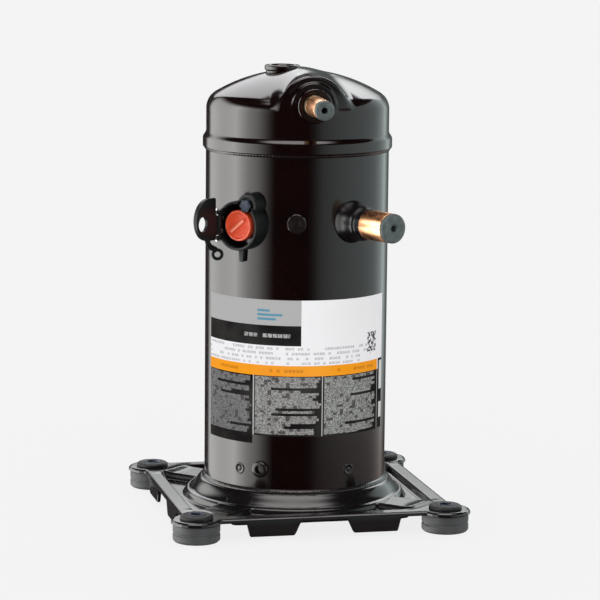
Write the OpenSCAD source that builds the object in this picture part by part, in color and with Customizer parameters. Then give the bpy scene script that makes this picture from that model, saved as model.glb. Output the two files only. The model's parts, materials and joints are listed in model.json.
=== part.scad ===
// Hermetic scroll compressor with its mounting plate, built piece by piece.
// Millimetres. The origin is the centre of the four foot bolts, level with the
// soles of the feet. +Z is up, and the discharge stub points towards -Y.
// Bearings round the shell are in degrees from -Y, positive towards +X.

/* [Shell] */
// Outside diameter of the steel shell
shell_od = 139.7; // [139.2:0.1:140.2]
// Wall thickness of the shell and its two caps
shell_wall = 3.3; // [3.2:0.1:3.4]
// Height of the lower edge of the shell tube
shell_bottom = 22; // [21.5:0.1:22.4]
// Height of the upper edge of the shell tube
shell_top = 288; // [287.8:0.1:288.4]

/* [Top cap] */
// Height of the crown of the cap
cap_apex = 341; // [340:0.5:343]
// Height at which the cap's straight side ends
cap_shoulder = 316; // [315:0.5:317]
// Radius of the rounded shoulder
cap_knuckle = 6; // [5:0.5:7]
// Outside radius of the flared skirt over the shell
skirt_r = 72.25; // [71.8:0.05:72.6]
// Radius of the hood over the discharge fitting
hood_r = 26; // [24:0.5:26.5]
// Distance of the hood's face from the axis
hood_reach = 64; // [62:0.5:65]
// Diameter of the round button beside the crown
button_d = 27; // [24:1:29]

/* [Mounting plate] */
// Distance between foot bolts, both ways
foot_pitch = 190.5; // [189:0.5:192]
// Half width of the plate between its lobes
plate_half = 104; // [103:0.5:105]
// Radius of the lobe round each foot
lobe_r = 19; // [18.5:0.25:20]
// Height of the plate's upper face
plate_top = 17; // [16.5:0.1:17.2]
// Sheet thickness of the plate
plate_t = 3; // [2.6:0.1:3.2]
// Radius where the drawn collar leaves the plate
collar_r = 82; // [81:0.5:83]
// Height of the collar's lip at the shell
collar_top = 26.5; // [26:0.5:27.5]
// Depth of the pockets pressed into the plate
pocket_depth = 5; // [4:0.5:5.5]
// Radius of each rubber foot
foot_r = 17.66; // [17:0.1:18.2]
// Radius of the bolt hole in each foot sleeve
bolt_r = 4.3; // [4.1:0.05:4.5]

/* [Fittings] */
// Height of the discharge stub's axis
discharge_z = 318.5; // [317:0.5:319]
// Bearing of the discharge stub
discharge_angle = -2.2; // [-4:0.1:0]
// Distance of the discharge stub's mouth from the shell's axis
discharge_reach = 103.5; // [96:0.5:108]
// Outside diameter of the copper discharge stub
discharge_od = 15; // [14.6:0.1:15.4]
// Bearing of the suction stub
suction_angle = 24; // [22:1:26]
// Height of the suction stub's axis
suction_z = 231.5; // [230.5:0.5:233]
// Outside diameter of the copper suction stub
suction_od = 22.2; // [21.8:0.1:22.4]
// Distance of the suction stub's mouth from the shell's axis
suction_reach = 116; // [112:1:118]
// Bearing of the electrical terminal
terminal_angle = -46; // [-48:1:-44]
// Height of the electrical terminal's centre
terminal_z = 229; // [228:0.5:230]
// Outside radius of the ring round the terminal
fence_r = 18.5; // [18.3:0.1:18.8]
// Angle by which the terminal cover stands open
cover_open = 90; // [80:1:100]
// Height of the lower edge of the label
label_bottom = 70; // [66:1:72]
// Height of the upper edge of the label
label_top = 173.6; // [168:0.2:176]

/* [Pump] */
// Orbit radius, which is the throw of the crank pin
orbit = 4.5; // [4.3:0.1:4.5]
// Wall thickness of both scroll wraps
wrap_t = 3.4; // [3.2:0.1:3.4]
// Clearance left between the flanks of the two wraps
flank_gap = 0.15; // [0.12:0.01:0.16]
// Height of the wraps
wrap_h = 18; // [16:1:18]
// Radius of the orbiting scroll's base
orbit_base_r = 52; // [51.5:0.1:52]

/* [Motor] */
// Height of the lower face of the stator core
stator_z = 80; // [78:1:82]
// Stack length of the stator and rotor cores
stack = 70; // [66:1:70]
// Bore radius of the stator
stator_bore = 35; // [34.8:0.1:36]
// Number of stator slots
slots = 24; // [18:6:24]
// Number of bars in the rotor cage
bars = 20; // [16:1:22]
// Radius of the main shaft
shaft_r = 11; // [10:0.5:11]

/* [Hidden] */
$fn = 96;

// Overshoot of cutting tools past the face they cut
cut = 1;
// Clearance between faces that slide on each other
slip = 0.05;

shell_r = shell_od / 2;
bore_r = shell_r - shell_wall;
cap_r = shell_r - 0.1;
skirt_bottom = shell_top - 6.2;
muffler_t = 3;
cap_step = shell_top + muffler_t;
knuckle_x = cap_r - cap_knuckle;
crown_rise = cap_apex - cap_shoulder;
dome_r = (knuckle_x * knuckle_x + crown_rise * crown_rise - cap_knuckle * cap_knuckle)
    / (2 * (crown_rise - cap_knuckle));
dome_z = cap_apex - dome_r;
hood_z = cap_apex - 0.5 - hood_r;
tangent = atan2(cap_shoulder - dome_z, knuckle_x);

label_t = 0.25;
label_start = -79.5;
label_column = -40;
label_end = 56.5;
collar_ring_r = 13;
collar_ring_out = shell_r + 1.6;
boss_r = 17;
boss_out = 67.5;
suction_r = suction_od / 2;
suction_wall = 1.1;
discharge_r = discharge_od / 2;
discharge_wall = 1;
spud_r = 12.8;
spud_out = shell_r + 15;
// Step down of each copper stub where it sits in its fitting
seat_step = 0.3;
oil_angle = -34;
oil_z = 44;
pump_angle = -12.8;
main_weld_z = 231;
lower_weld_z = 43;
housing_top = 262;
floor_z = 241.5;
hub_floor = 222;
wrap_z = 253;
base_z = wrap_z + wrap_h;
ceiling_z = base_z + 12;
well_r = 57.5;
pin_r = 7.5;
bushing_r = 11;
hub_r = 16.5;
hub_bore_r = 13;
thrust_t = 4.5;
seal_outer_r = 40;
seal_inner_r = 24;
oldham_r = 52;
oldham_bore_r = 43.5;
key_half = 3;
key_in = 44;
key_out = 51.5;
journal_r = 14;
lower_journal_r = 9;
lower_seat_r = 11.5;
stator_top = stator_z + stack;
rotor_r = stator_bore - 0.5;
pitch_r = (wrap_t + orbit + flank_gap) / PI;
wrap_start = 190;
wrap_end = 1030;
fence_inner_r = fence_r - 2.3;
fence_out = 82;
block_out = 80;
hinge_x = -14.5;
hinge_out = fence_out + 2.6;
cover_end = -2;
cover_round = 15.8;
cover_lift = 5;
cover_neck = hinge_x + 4;
barrel_r = 2.5;
barrel_half = 7.4;
cover_hole_r = 5.6;
cover_hole_x = cover_end + 8.4;
cover_hole_y = cover_lift - 2.6;
pin_orbit = 6.2;
pin_hole_r = 2.8;
contact_r = 1.6;
hinge_pin_r = 1;
ground_screw_r = 2;
earth_x = 7.2;
earth_y = 15.2;
earth_top = fence_out - 3;
bolt_x = 61.8;
bolt_shank_r = 3;
main_arm_angles = [for (i = [0:2]) pump_angle + 120 * i];
lower_arm_angles = [for (i = [0:4]) -49 + 72 * i];

// ---- Placement helpers -------------------------------------------------

// Puts children on a port: X to the right, Y up and Z outwards
module port(angle, height) {
    rotate([0, 0, angle - 90])
        translate([0, 0, height])
            rotate([90, 0, 90])
                children();
}

module tube(outer, inner, bottom, top) {
    translate([0, 0, bottom])
        difference() {
            cylinder(r = outer, h = top - bottom);
            translate([0, 0, -cut])
                cylinder(r = inner, h = top - bottom + 2 * cut);
        }
}

module disc(radius, bottom, top) {
    translate([0, 0, bottom])
        cylinder(r = radius, h = top - bottom);
}

module box(low, high) {
    translate(low)
        cube(high - low);
}

// Round rod between two points, with a slightly fuller ball at its far end
module rod(from, to, radius) {
    along = to - from;
    length = norm(along);
    translate(from)
        rotate([0, acos(along[2] / length), atan2(along[1], along[0])])
            cylinder(r = radius, h = length, $fn = 32);
    translate(to)
        sphere(r = radius * 1.1, $fn = 32);
}

// Solid of the shell as seen from a port, used to fit pieces to its wall
module shell_core() {
    rotate([90, 0, 0])
        cylinder(r = shell_r, h = 80, center = true);
}

// Copies children onto the four foot bolts
module at_feet() {
    for (x = [-1, 1], y = [-1, 1])
        translate([x * foot_pitch / 2, y * foot_pitch / 2, 0])
            children();
}

// Copies children round the axis at equal steps
module around(count) {
    for (i = [0:count - 1])
        rotate([0, 0, 360 * i / count])
            children();
}

// ---- Caps and shell ----------------------------------------------------

// Rounded shoulder and dome, set in from the outer face by a wall
function crown(inset) = concat(
    [for (i = [0:5])
        let (a = tangent * i / 5)
        [knuckle_x + (cap_knuckle - inset) * cos(a), cap_shoulder + (cap_knuckle - inset) * sin(a)]],
    [for (i = [1:10])
        let (a = tangent + (90 - tangent) * i / 10)
        [(dome_r - inset) * cos(a), dome_z + (dome_r - inset) * sin(a)]]
);

module cap_outside() {
    rotate_extrude()
        polygon(concat(
            [
                [0, skirt_bottom], [skirt_r - 1.1, skirt_bottom], [skirt_r, skirt_bottom + 2],
                [skirt_r, cap_step - 2], [skirt_r - 1, cap_step + 1], [cap_r, cap_step + 3.5]
            ],
            crown(0)
        ));
}

module cap_inside() {
    inner_r = cap_r - shell_wall;
    rotate_extrude()
        polygon(concat(
            [
                [0, skirt_bottom - cut], [shell_r, skirt_bottom - cut],
                [shell_r, cap_step], [inner_r, cap_step]
            ],
            crown(shell_wall)
        ));
}

module top_cap() {
    color("#17171a")
    difference() {
        union() {
            cap_outside();
            port(discharge_angle, hood_z)
                disc(hood_r, 4, hood_reach);
            port(discharge_angle, discharge_z)
                disc(boss_r, 40, boss_out);
        }
        cap_inside();
        port(discharge_angle, hood_z)
            disc(hood_r - shell_wall, 0, hood_reach - shell_wall);
        port(discharge_angle, discharge_z)
            disc(collar_ring_r, 40, shell_r + 2 * cut);
    }
}

// The button stands on the dome, so its underside follows the dome
module top_button() {
    color("#1b1b1e")
    difference() {
        translate([-11.7, 2.7, 0])
            rotate_extrude()
                polygon([
                    [0, cap_apex - 6], [button_d / 2 - 1, cap_apex - 6],
                    [button_d / 2 - 1, cap_apex - 0.6], [button_d / 2, cap_apex],
                    [button_d / 2, cap_apex + 2.4], [button_d / 2 - 1, cap_apex + 3.4],
                    [button_d / 2 - 2.4, cap_apex + 3.4], [button_d / 2 - 3.4, cap_apex + 2.4],
                    [0, cap_apex + 2.4]
                ]);
        cap_outside();
    }
}

module main_shell() {
    color("#1a1818")
    difference() {
        tube(shell_r, bore_r, shell_bottom, shell_top);
        port(suction_angle, suction_z)
            disc(suction_r, 50, shell_r + cut);
        port(terminal_angle, terminal_z)
            disc(16, 50, shell_r + cut);
        for (a = main_arm_angles)
            port(a, main_weld_z)
                disc(4.2, 50, shell_r + cut);
        for (a = lower_arm_angles)
            port(a, lower_weld_z)
                disc(3, 50, shell_r + cut);
        port(oil_angle, oil_z)
            disc(4.5, 50, shell_r + cut);
    }
}

module bottom_cap() {
    corner = 21;
    corner_z = 30;
    corner_x = bore_r - corner;
    color("#202022")
    rotate_extrude()
        polygon(concat(
            [[0, corner_z - corner]],
            [for (i = [0:8])
                let (a = -90 + 90 * i / 8)
                [corner_x + corner * cos(a), corner_z + corner * sin(a)]],
            [[bore_r, corner_z + 8], [bore_r - shell_wall, corner_z + 8]],
            [for (i = [0:8])
                let (a = -90 * i / 8, r = corner - shell_wall)
                [corner_x + r * cos(a), corner_z + r * sin(a)]],
            [[0, corner_z - corner + shell_wall]]
        ));
}

// Weld run round the shell, widest at its foot and fading out at its tip
module bead(foot, tip, width) {
    rise = tip - foot;
    rotate_extrude()
        polygon([
            [shell_r, foot], [shell_r + width, foot], [shell_r + width, foot + 0.3 * rise],
            [shell_r + 0.5 * width, foot + 0.8 * rise], [shell_r, tip]
        ]);
}

module weld_beads() {
    color("#242020") {
        bead(skirt_bottom, skirt_bottom - 2.2, 1.2);
        bead(collar_top, collar_top + 3, 1.8);
    }
}

// Weld that fills a hole in the shell wall, with a ring-shaped crater on its face
module plug_weld(shank, crater) {
    disc(shank, bore_r + 0.1, shell_r + 0.2);
    difference() {
        disc(crater, shell_r - 1, shell_r + 0.8);
        tube(crater * 0.75, crater * 0.45, shell_r + 0.3, shell_r + 2);
        shell_core();
    }
}

module plug_welds() {
    color("#2a2827") {
        for (a = main_arm_angles)
            port(a, main_weld_z)
                plug_weld(4.2, 7.2);
        for (a = lower_arm_angles)
            port(a, lower_weld_z)
                plug_weld(3, 4.3);
    }
}

module oil_port() {
    color("#2b2a2a")
    port(oil_angle, oil_z)
        difference() {
            union() {
                disc(4.5, shell_r - 6, shell_r + 1);
                difference() {
                    disc(6.2, shell_r - 1, shell_r + 3);
                    shell_core();
                }
            }
            translate([0, 0, shell_r])
                cylinder(r = 2.8, h = 4, $fn = 6);
        }
}

// Wrap-round label, with a deeper first column at its left end
module rating_label() {
    color("#c9cbc9")
        rotate([0, 0, label_start - 90]) {
            rotate_extrude(angle = label_end - label_start)
                translate([shell_r, label_bottom])
                    square([label_t, label_top - label_bottom]);
            rotate_extrude(angle = label_column - label_start)
                translate([shell_r, label_bottom - 6.5])
                    square([label_t, 7]);
        }
}

// ---- Mounting plate ----------------------------------------------------

// Pocket between the collar and the +X edge; grow widens it by the sheet
module pocket_outline(grow) {
    edge = plate_half - 12;
    apex = 20;
    difference() {
        polygon([
            [apex - 1.5 * grow, 0],
            [edge + grow, apex - edge - grow * 2.5],
            [edge + grow, edge - apex + grow * 2.5]
        ]);
        circle(r = collar_r + 1 - grow);
        for (y = [-1, 1])
            translate([foot_pitch / 2, y * foot_pitch / 2])
                circle(r = foot_r + 0.8);
    }
}

module plate_sheet() {
    translate([0, 0, plate_top - plate_t])
        linear_extrude(plate_t)
            difference() {
                union() {
                    square(2 * plate_half, center = true);
                    for (x = [-1, 1], y = [-1, 1])
                        translate([x * foot_pitch / 2, y * foot_pitch / 2])
                            circle(r = lobe_r);
                }
                circle(r = collar_r);
                for (i = [0:3])
                    rotate(90 * i)
                        pocket_outline(0);
            }
}

module pocket() {
    translate([0, 0, plate_top - pocket_depth - plate_t])
        difference() {
            linear_extrude(pocket_depth)
                pocket_outline(plate_t);
            translate([0, 0, plate_t])
                linear_extrude(pocket_depth)
                    pocket_outline(0);
        }
}

// Drawn collar that rises in an S to a flat lip round the shell
module collar() {
    lip_r = shell_r + 2;
    steps = 10;
    rise = collar_top - plate_top;
    top = [for (i = [0:steps])
        [collar_r + (lip_r - collar_r) * i / steps,
            plate_top + rise * (1 - cos(180 * i / steps)) / 2]];
    rotate_extrude()
        polygon(concat(
            top,
            [[shell_r, collar_top], [shell_r, collar_top - plate_t]],
            [for (i = [steps:-1:0]) top[i] - [0, plate_t]]
        ));
}

// Edge flange with two tapered tabs that reach down beside the feet
module flange() {
    rim_z = plate_top - plate_t - 0.2;
    tab_z = 3;
    tab_in = 25;
    tab_out = 55;
    half = foot_pitch / 2 - 17;
    edge = [
        [half, plate_top - 1], [half, rim_z], [tab_out + 4, rim_z], [tab_out + 1, tab_z + 1],
        [tab_out, tab_z], [tab_in, tab_z], [tab_in - 1.5, tab_z + 1], [tab_in - 10, rim_z]
    ];
    translate([0, -plate_half + 2.5, 0])
        rotate([90, 0, 0])
            linear_extrude(2.5)
                polygon(concat(
                    edge,
                    [for (i = [len(edge) - 1:-1:0]) [-edge[i][0], edge[i][1]]]
                ));
}

module base_plate() {
    color("#141416")
    difference() {
        union() {
            plate_sheet();
            collar();
            for (i = [0:3])
                rotate([0, 0, 90 * i]) {
                    pocket();
                    flange();
                }
        }
        at_feet()
            disc(10, plate_top - plate_t - cut, plate_top + cut);
    }
}

// Grommet: body under the plate, neck in the hole and lip on top
module rubber_feet() {
    under = plate_top - plate_t;
    color("#3d3f41")
    at_feet()
        rotate_extrude()
            polygon([
                [6.4, 0], [foot_r - 1.2, 0], [foot_r, 1.2], [foot_r, under], [10, under],
                [10, plate_top], [11.8, plate_top], [11.8, plate_top + 2.2],
                [11, plate_top + 3], [6.4, plate_top + 3]
            ]);
}

module foot_sleeves() {
    color("#9a9da0")
    at_feet()
        tube(6.4, bolt_r, 0, plate_top + 3.4);
}

// ---- Suction and discharge fittings ------------------------------------

module suction_spud() {
    color("#19191b")
    port(suction_angle, suction_z)
        difference() {
            union() {
                translate([0, 0, shell_r - 6])
                    cylinder(r1 = 17.2, r2 = 13.4, h = 16);
                disc(spud_r, shell_r - 6, spud_out);
            }
            disc(suction_r - seat_step, 50, 100);
            shell_core();
        }
}

// Copper tube, sized down from its inner end to the face of its fitting
module stub(radius, wall, start, seat, mouth) {
    difference() {
        union() {
            disc(radius - seat_step, start, seat + cut);
            disc(radius, seat, mouth);
        }
        disc(radius - wall, start - cut, mouth + cut);
    }
}

module suction_stub() {
    color("#b87447")
    port(suction_angle, suction_z)
        stub(suction_r, suction_wall, shell_r - 8, spud_out, suction_reach);
}

// Shipping plug: flange over the tube's mouth, shank inside it
module rubber_plug(tube_r, wall, mouth, hole_r) {
    difference() {
        union() {
            translate([0, 0, mouth])
                cylinder(r1 = tube_r - 0.2, r2 = tube_r - 0.8, h = 4);
            disc(tube_r - wall - slip, mouth - 12, mouth + 1);
        }
        disc(hole_r, mouth - 4, mouth + 5);
    }
}

module suction_plug() {
    color("#434a49")
    port(suction_angle, suction_z)
        rubber_plug(suction_r, suction_wall, suction_reach, 2.5);
}

module discharge_collar() {
    color("#2a2a2c")
    port(discharge_angle, discharge_z)
        difference() {
            disc(collar_ring_r, hood_reach - 7, collar_ring_out);
            disc(discharge_r - seat_step, 50, shell_r + 2 * cut);
            translate([0, 0, collar_ring_out - 1.2])
                cylinder(r1 = discharge_r, r2 = discharge_r + 2, h = 1.4);
        }
}

module discharge_stub() {
    color("#b87447")
    port(discharge_angle, discharge_z)
        stub(discharge_r, discharge_wall, 55, collar_ring_out, discharge_reach);
}

module discharge_plug() {
    color("#565c5b")
    port(discharge_angle, discharge_z)
        rubber_plug(discharge_r, discharge_wall, discharge_reach, 2.3);
}

// ---- Electrical terminal -----------------------------------------------

// Ring welded to the shell, with hinge ears, an earth boss and a lower tab
module terminal_fence() {
    color("#18181a")
    port(terminal_angle, terminal_z)
        difference() {
            union() {
                difference() {
                    union() {
                        disc(fence_r, 55, fence_out);
                        translate([earth_x, earth_y, 0])
                            disc(9, 55, earth_top);
                        box([-4.5, -28, 65], [1.5, 1 - fence_r, 73]);
                    }
                    disc(fence_inner_r, 50, 100);
                }
                for (y = [-11, 8])
                    box([hinge_x - 2.5, y, fence_out - 4], [hinge_x + 2.5, y + 3, hinge_out + 2.5]);
            }
            translate([earth_x, earth_y, 0]) {
                disc(ground_screw_r, 70, fence_out);
                disc(6, earth_top, fence_out + cut);
            }
            translate([hinge_x, 0, hinge_out])
                rotate([90, 0, 0])
                    cylinder(r = hinge_pin_r, h = 40, center = true);
            shell_core();
        }
}

module at_pins() {
    for (i = [0:2])
        rotate([0, 0, 90 + 120 * i])
            translate([pin_orbit, 0, 0])
                children();
}

module hermetic_terminal() {
    color("#8d8f90")
    port(terminal_angle, terminal_z)
        difference() {
            disc(16, shell_r - 8, shell_r - 1);
            disc(13.5, 50, shell_r - 4);
            at_pins()
                disc(pin_hole_r, 50, 80);
        }
}

module glass_seals() {
    color("#5f7a78")
    port(terminal_angle, terminal_z)
        at_pins()
            tube(pin_hole_r, contact_r, shell_r - 4, shell_r - 1);
}

module terminal_pins() {
    color("#b08d57")
    port(terminal_angle, terminal_z)
        at_pins()
            disc(contact_r, shell_r - 11, block_out - 2);
}

// Moulded block on the pins, with a plain grip rib across its face
module terminal_block() {
    color("#d8502e")
    port(terminal_angle, terminal_z) {
        difference() {
            disc(11.5, shell_r + 1.2, block_out);
            at_pins()
                disc(contact_r + slip, 60, block_out - 1.8);
        }
        translate([0, 0, block_out - slip])
            rotate([0, 0, 40])
                linear_extrude(1.3)
                    square([15.2, 2.6], center = true);
    }
}

// Cover in its closed place: D-shaped plate, thumb hole, rim, hinge barrel and tether
module closed_cover() {
    tail = [-13.7, -22, hinge_out];
    difference() {
        union() {
            translate([0, 0, hinge_out - 1])
                linear_extrude(2)
                    union() {
                        intersection() {
                            translate([cover_end, cover_lift])
                                circle(r = cover_round);
                            translate([cover_neck, cover_lift - cover_round])
                                square(2 * cover_round);
                        }
                        translate([cover_neck, cover_lift - cover_round])
                            square([cover_end - cover_neck, 2 * cover_round]);
                        translate([hinge_x, -barrel_half])
                            square([12, 2 * barrel_half]);
                    }
            translate([cover_end, cover_lift, 0])
                intersection() {
                    tube(cover_round, cover_round - 1.6, hinge_out, hinge_out + 3);
                    box([0, -20, 80], [20, 20, 100]);
                }
            translate([hinge_x, 0, hinge_out])
                rotate([90, 0, 0])
                    cylinder(r = barrel_r, h = 2 * barrel_half, center = true);
            rod([0, -9, hinge_out], [-3, -14.5, hinge_out], 1.9);
            rod([-3, -14.5, hinge_out], tail + [1.6, 4.2, 0], 1.9);
            translate(tail)
                rotate([0, -57, 0])
                    tube(4.6, 2.2, -1.5, 1.5);
        }
        translate([cover_hole_x, cover_hole_y, 0])
            disc(cover_hole_r, 80, 100);
        translate([hinge_x, 0, hinge_out])
            rotate([90, 0, 0])
                cylinder(r = hinge_pin_r + slip, h = 40, center = true);
    }
}

module terminal_cover() {
    color("#1c1e1e")
    port(terminal_angle, terminal_z)
        translate([hinge_x, 0, hinge_out])
            rotate([0, -cover_open, 0])
                translate([-hinge_x, 0, -hinge_out])
                    closed_cover();
}

module cover_hinge_pin() {
    color("#8f9294")
    port(terminal_angle, terminal_z)
        translate([hinge_x, 0, hinge_out])
            rotate([90, 0, 0]) {
                cylinder(r = hinge_pin_r, h = 22.4, center = true);
                for (end = [-12.2, 11.2])
                    translate([0, 0, end])
                        cylinder(r = 1.8, h = 1);
            }
}

// Spring clips that stand inside the fence beside the hinge
module fence_clips() {
    leg_x = -14.7;
    clip_t = 0.7;
    color("#c4c6c6")
    port(terminal_angle, terminal_z)
        for (y = [-6.5, 3.5]) {
            box([leg_x, y, fence_out - 9], [leg_x + clip_t, y + 3, fence_out - 0.3]);
            box([leg_x, y, fence_out - 1], [leg_x + 2.8, y + 3, fence_out - 0.3]);
        }
}

module ground_screw() {
    color("#3a3c3c")
    port(terminal_angle, terminal_z)
        translate([earth_x, earth_y, 0])
            union() {
                disc(ground_screw_r, 72, earth_top + 1);
                translate([0, 0, earth_top])
                    cylinder(r = 5, h = 2.8, $fn = 6);
            }
}

// Leads from the terminal's pins down to the upper winding head
module lead_wires() {
    end_y = stator_top + 22.1 + 1.4 - terminal_z;
    color("#a33a2c")
    port(terminal_angle, terminal_z)
        for (i = [0:2]) {
            x = pin_orbit * cos(90 + 120 * i);
            y = pin_orbit * sin(90 + 120 * i);
            start = shell_r - 12.3;
            rod([x, y, start], [x * 1.2, y - 9, start - 1], 1.2);
            rod([x * 1.2, y - 9, start - 1], [x * 1.3, end_y + 16, start - 2], 1.2);
            rod([x * 1.3, end_y + 16, start - 2], [x * 1.3, end_y, 51], 1.2);
        }
}

// ---- Discharge side: muffler plate, valve and floating seal -------------

module muffler_plate() {
    color("#77797b")
    tube(shell_r - slip, 9, shell_top, cap_step);
}

module check_valve_cage() {
    color("#8a8c8e")
    difference() {
        disc(17, cap_step, cap_step + 8.6);
        disc(12.6, cap_step - cut, cap_step + 7);
        disc(4, cap_step, cap_step + 10);
        around(6)
            translate([9.4, 0, 0])
                disc(2.2, cap_step, cap_step + 10);
    }
}

module check_valve_disc() {
    color("#a9abad")
    disc(12.5, cap_step + slip, cap_step + 1.4);
}

module floating_seal() {
    color("#6d6f71") {
        tube(seal_outer_r - slip, seal_inner_r + slip, base_z + 7, base_z + 13);
        tube(30, 27, base_z + 13 - slip, shell_top - 0.9);
    }
}

// ---- Scroll set ---------------------------------------------------------

// Point on the involute of the base circle, set off to one side of it
function involute(angle, side) =
    pitch_r * [cos(angle), sin(angle)]
    + (pitch_r * angle * PI / 180 + side) * [sin(angle), -cos(angle)];

module wrap(bottom, top) {
    step = 6;
    translate([0, 0, bottom])
        linear_extrude(top - bottom)
            polygon(concat(
                [for (a = [wrap_start:step:wrap_end]) involute(a, wrap_t / 2)],
                [for (a = [wrap_end:-step:wrap_start]) involute(a, -wrap_t / 2)]
            ));
}

module at_bolts() {
    for (a = [45:90:315])
        rotate([0, 0, a])
            children();
}

module fixed_scroll() {
    skirt = well_r - 0.3;
    color("#8b8d8f")
    difference() {
        union() {
            disc(skirt, base_z, ceiling_z);
            tube(skirt, orbit_base_r + 1.5, wrap_z + 2 * slip, base_z + slip);
            rotate([0, 0, 180])
                wrap(wrap_z + slip, base_z + slip);
            at_bolts()
                box([orbit_base_r + 3, -8, housing_top + 0.1], [66, 8, housing_top + 8]);
        }
        tube(seal_outer_r, seal_inner_r, base_z + 6, ceiling_z + cut);
        disc(4.5, base_z - cut, ceiling_z + cut);
        at_bolts()
            translate([bolt_x, 0, 0])
                disc(4.45, housing_top, housing_top + 9);
        for (a = [suction_angle, suction_angle + 180])
            port(a, wrap_z + 10)
                box([-12, -6, 50], [12, 5, 60]);
    }
}

module guide_sleeves() {
    color("#9ea1a3")
    at_bolts()
        translate([bolt_x, 0, 0])
            tube(4.4, bolt_shank_r, housing_top, housing_top + 8.8);
}

module guide_bolts() {
    color("#55585a")
    at_bolts()
        translate([bolt_x, 0, 0]) {
            disc(bolt_shank_r, housing_top - 12, housing_top + 9);
            translate([0, 0, housing_top + 8.8])
                rotate([0, 0, 30])
                    cylinder(r = 5, h = 4.2, $fn = 6);
        }
}

module orbiting_scroll() {
    color("#9a9c9e")
    translate([orbit, 0, 0])
        difference() {
            union() {
                disc(orbit_base_r, floor_z + thrust_t + slip, wrap_z);
                wrap(wrap_z - slip, base_z - slip);
                disc(hub_r, hub_floor + 2, floor_z + 5);
            }
            disc(hub_bore_r, hub_floor, floor_z + 4.4);
            for (turn = [90, 270])
                rotate([0, 0, turn])
                    box([39.3, -key_half - slip, floor_z], [54, key_half + slip, floor_z + 7]);
        }
}

module hub_bearing() {
    color("#b5884f")
    translate([orbit, 0, 0])
        tube(hub_bore_r, bushing_r + slip, hub_floor + 3, floor_z + 4);
}

module oldham_ring() {
    color("#a8aaac")
    translate([orbit, 0, 0])
        tube(oldham_r, oldham_bore_r, floor_z + slip, floor_z + 3);
}

// Two lower keys slide in the housing and two upper keys in the scroll
module oldham_keys() {
    color("#b4b6b8")
    translate([orbit, 0, 0]) {
        for (turn = [0, 180])
            rotate([0, 0, turn])
                box([key_in, -key_half, floor_z - 2.9], [key_out, key_half, floor_z + slip]);
        for (turn = [90, 270])
            rotate([0, 0, turn])
                box([key_in, -key_half, floor_z + 3], [key_out, key_half, floor_z + 6.9]);
    }
}

module thrust_plate() {
    color("#7f8284")
    tube(38.5, 22, floor_z, floor_z + thrust_t);
}

module main_bearing_housing() {
    color("#6b6d6e")
    difference() {
        union() {
            disc(24, hub_floor - 26, floor_z - 1);
            intersection() {
                disc(bore_r, hub_floor, floor_z - 1);
                union() {
                    for (a = main_arm_angles)
                        port(a, 0)
                            box([-8, hub_floor, 20], [8, floor_z - 1, 70]);
                }
            }
            disc(bore_r - 0.15, floor_z - 5.5, housing_top);
        }
        disc(hub_r, hub_floor - 27, hub_floor + cut);
        disc(21.5, hub_floor, floor_z + cut);
        disc(well_r, floor_z, housing_top + cut);
        for (turn = [0, 180])
            rotate([0, 0, turn])
                box([39.2, -key_half - slip, floor_z - 3], [56.6, key_half + slip, floor_z + cut]);
        port(terminal_angle, terminal_z)
            disc(17.5, 54, 70);
        port(suction_angle, suction_z)
            disc(13, well_r - 1, 70);
        at_bolts()
            translate([bolt_x, 0, 0])
                disc(bolt_shank_r, housing_top - 12, housing_top + cut);
    }
}

module main_bearing() {
    color("#b5884f")
    tube(hub_r, journal_r + 0.03, hub_floor - 23.5, hub_floor - 0.5);
}

// ---- Shaft and motor ----------------------------------------------------

module crankshaft() {
    color("#8e9092")
    difference() {
        union() {
            disc(lower_journal_r, 24, 52);
            disc(shaft_r, 52, hub_floor - 24);
            disc(journal_r, hub_floor - 24, hub_floor);
            translate([orbit, 0, 0])
                disc(pin_r, hub_floor - slip, hub_floor + 22);
        }
        translate([orbit, 0, 0])
            disc(2, 20, hub_floor + 23);
    }
}

module drive_bushing() {
    color("#a3a5a7")
    translate([orbit, 0, 0])
        tube(bushing_r, pin_r, hub_floor + 4, hub_floor + 21);
}

// Half ring on a hub, on the side given by turn
module counterweight(bottom, top, turn) {
    difference() {
        union() {
            disc(17, bottom, top);
            rotate([0, 0, turn])
                intersection() {
                    disc(rotor_r - 2, bottom, top);
                    box([0, -40, bottom], [40, 40, top]);
                }
        }
        disc(shaft_r, bottom - cut, top + cut);
    }
}

module upper_counterweight() {
    color("#7a7c7e")
    counterweight(stator_top + 8, stator_top + 22, 180);
}

module lower_counterweight() {
    color("#7a7c7e")
    counterweight(stator_z - 16, stator_z - 6.1, 0);
}

module cage_bars() {
    around(bars)
        translate([rotor_r - 4.5, 0, 0])
            disc(2.2, stator_z - 1, stator_top + 1);
}

module rotor_core() {
    color("#6f7173")
    difference() {
        tube(rotor_r, shaft_r, stator_z, stator_top);
        cage_bars();
    }
}

module rotor_cage() {
    color("#b9bcbe") {
        tube(rotor_r - 1, 22, stator_z - 6, stator_z);
        tube(rotor_r - 1, 22, stator_top, stator_top + 6);
        cage_bars();
    }
}

module slot_outline(half_width, depth) {
    translate([stator_bore + 3, -half_width])
        square([depth, 2 * half_width]);
}

module stator_core() {
    color("#77706a")
    translate([0, 0, stator_z])
        linear_extrude(stack)
            difference() {
                circle(r = bore_r);
                circle(r = stator_bore);
                for (i = [0:slots - 1])
                    rotate(360 * i / slots) {
                        slot_outline(2.6, 16);
                        translate([stator_bore - 1, -1.2])
                            square([5, 2.4]);
                    }
                for (i = [0:5])
                    rotate(60 * i + 30)
                        translate([bore_r - 1.6, -12])
                            square([4, 24]);
            }
}

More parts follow.
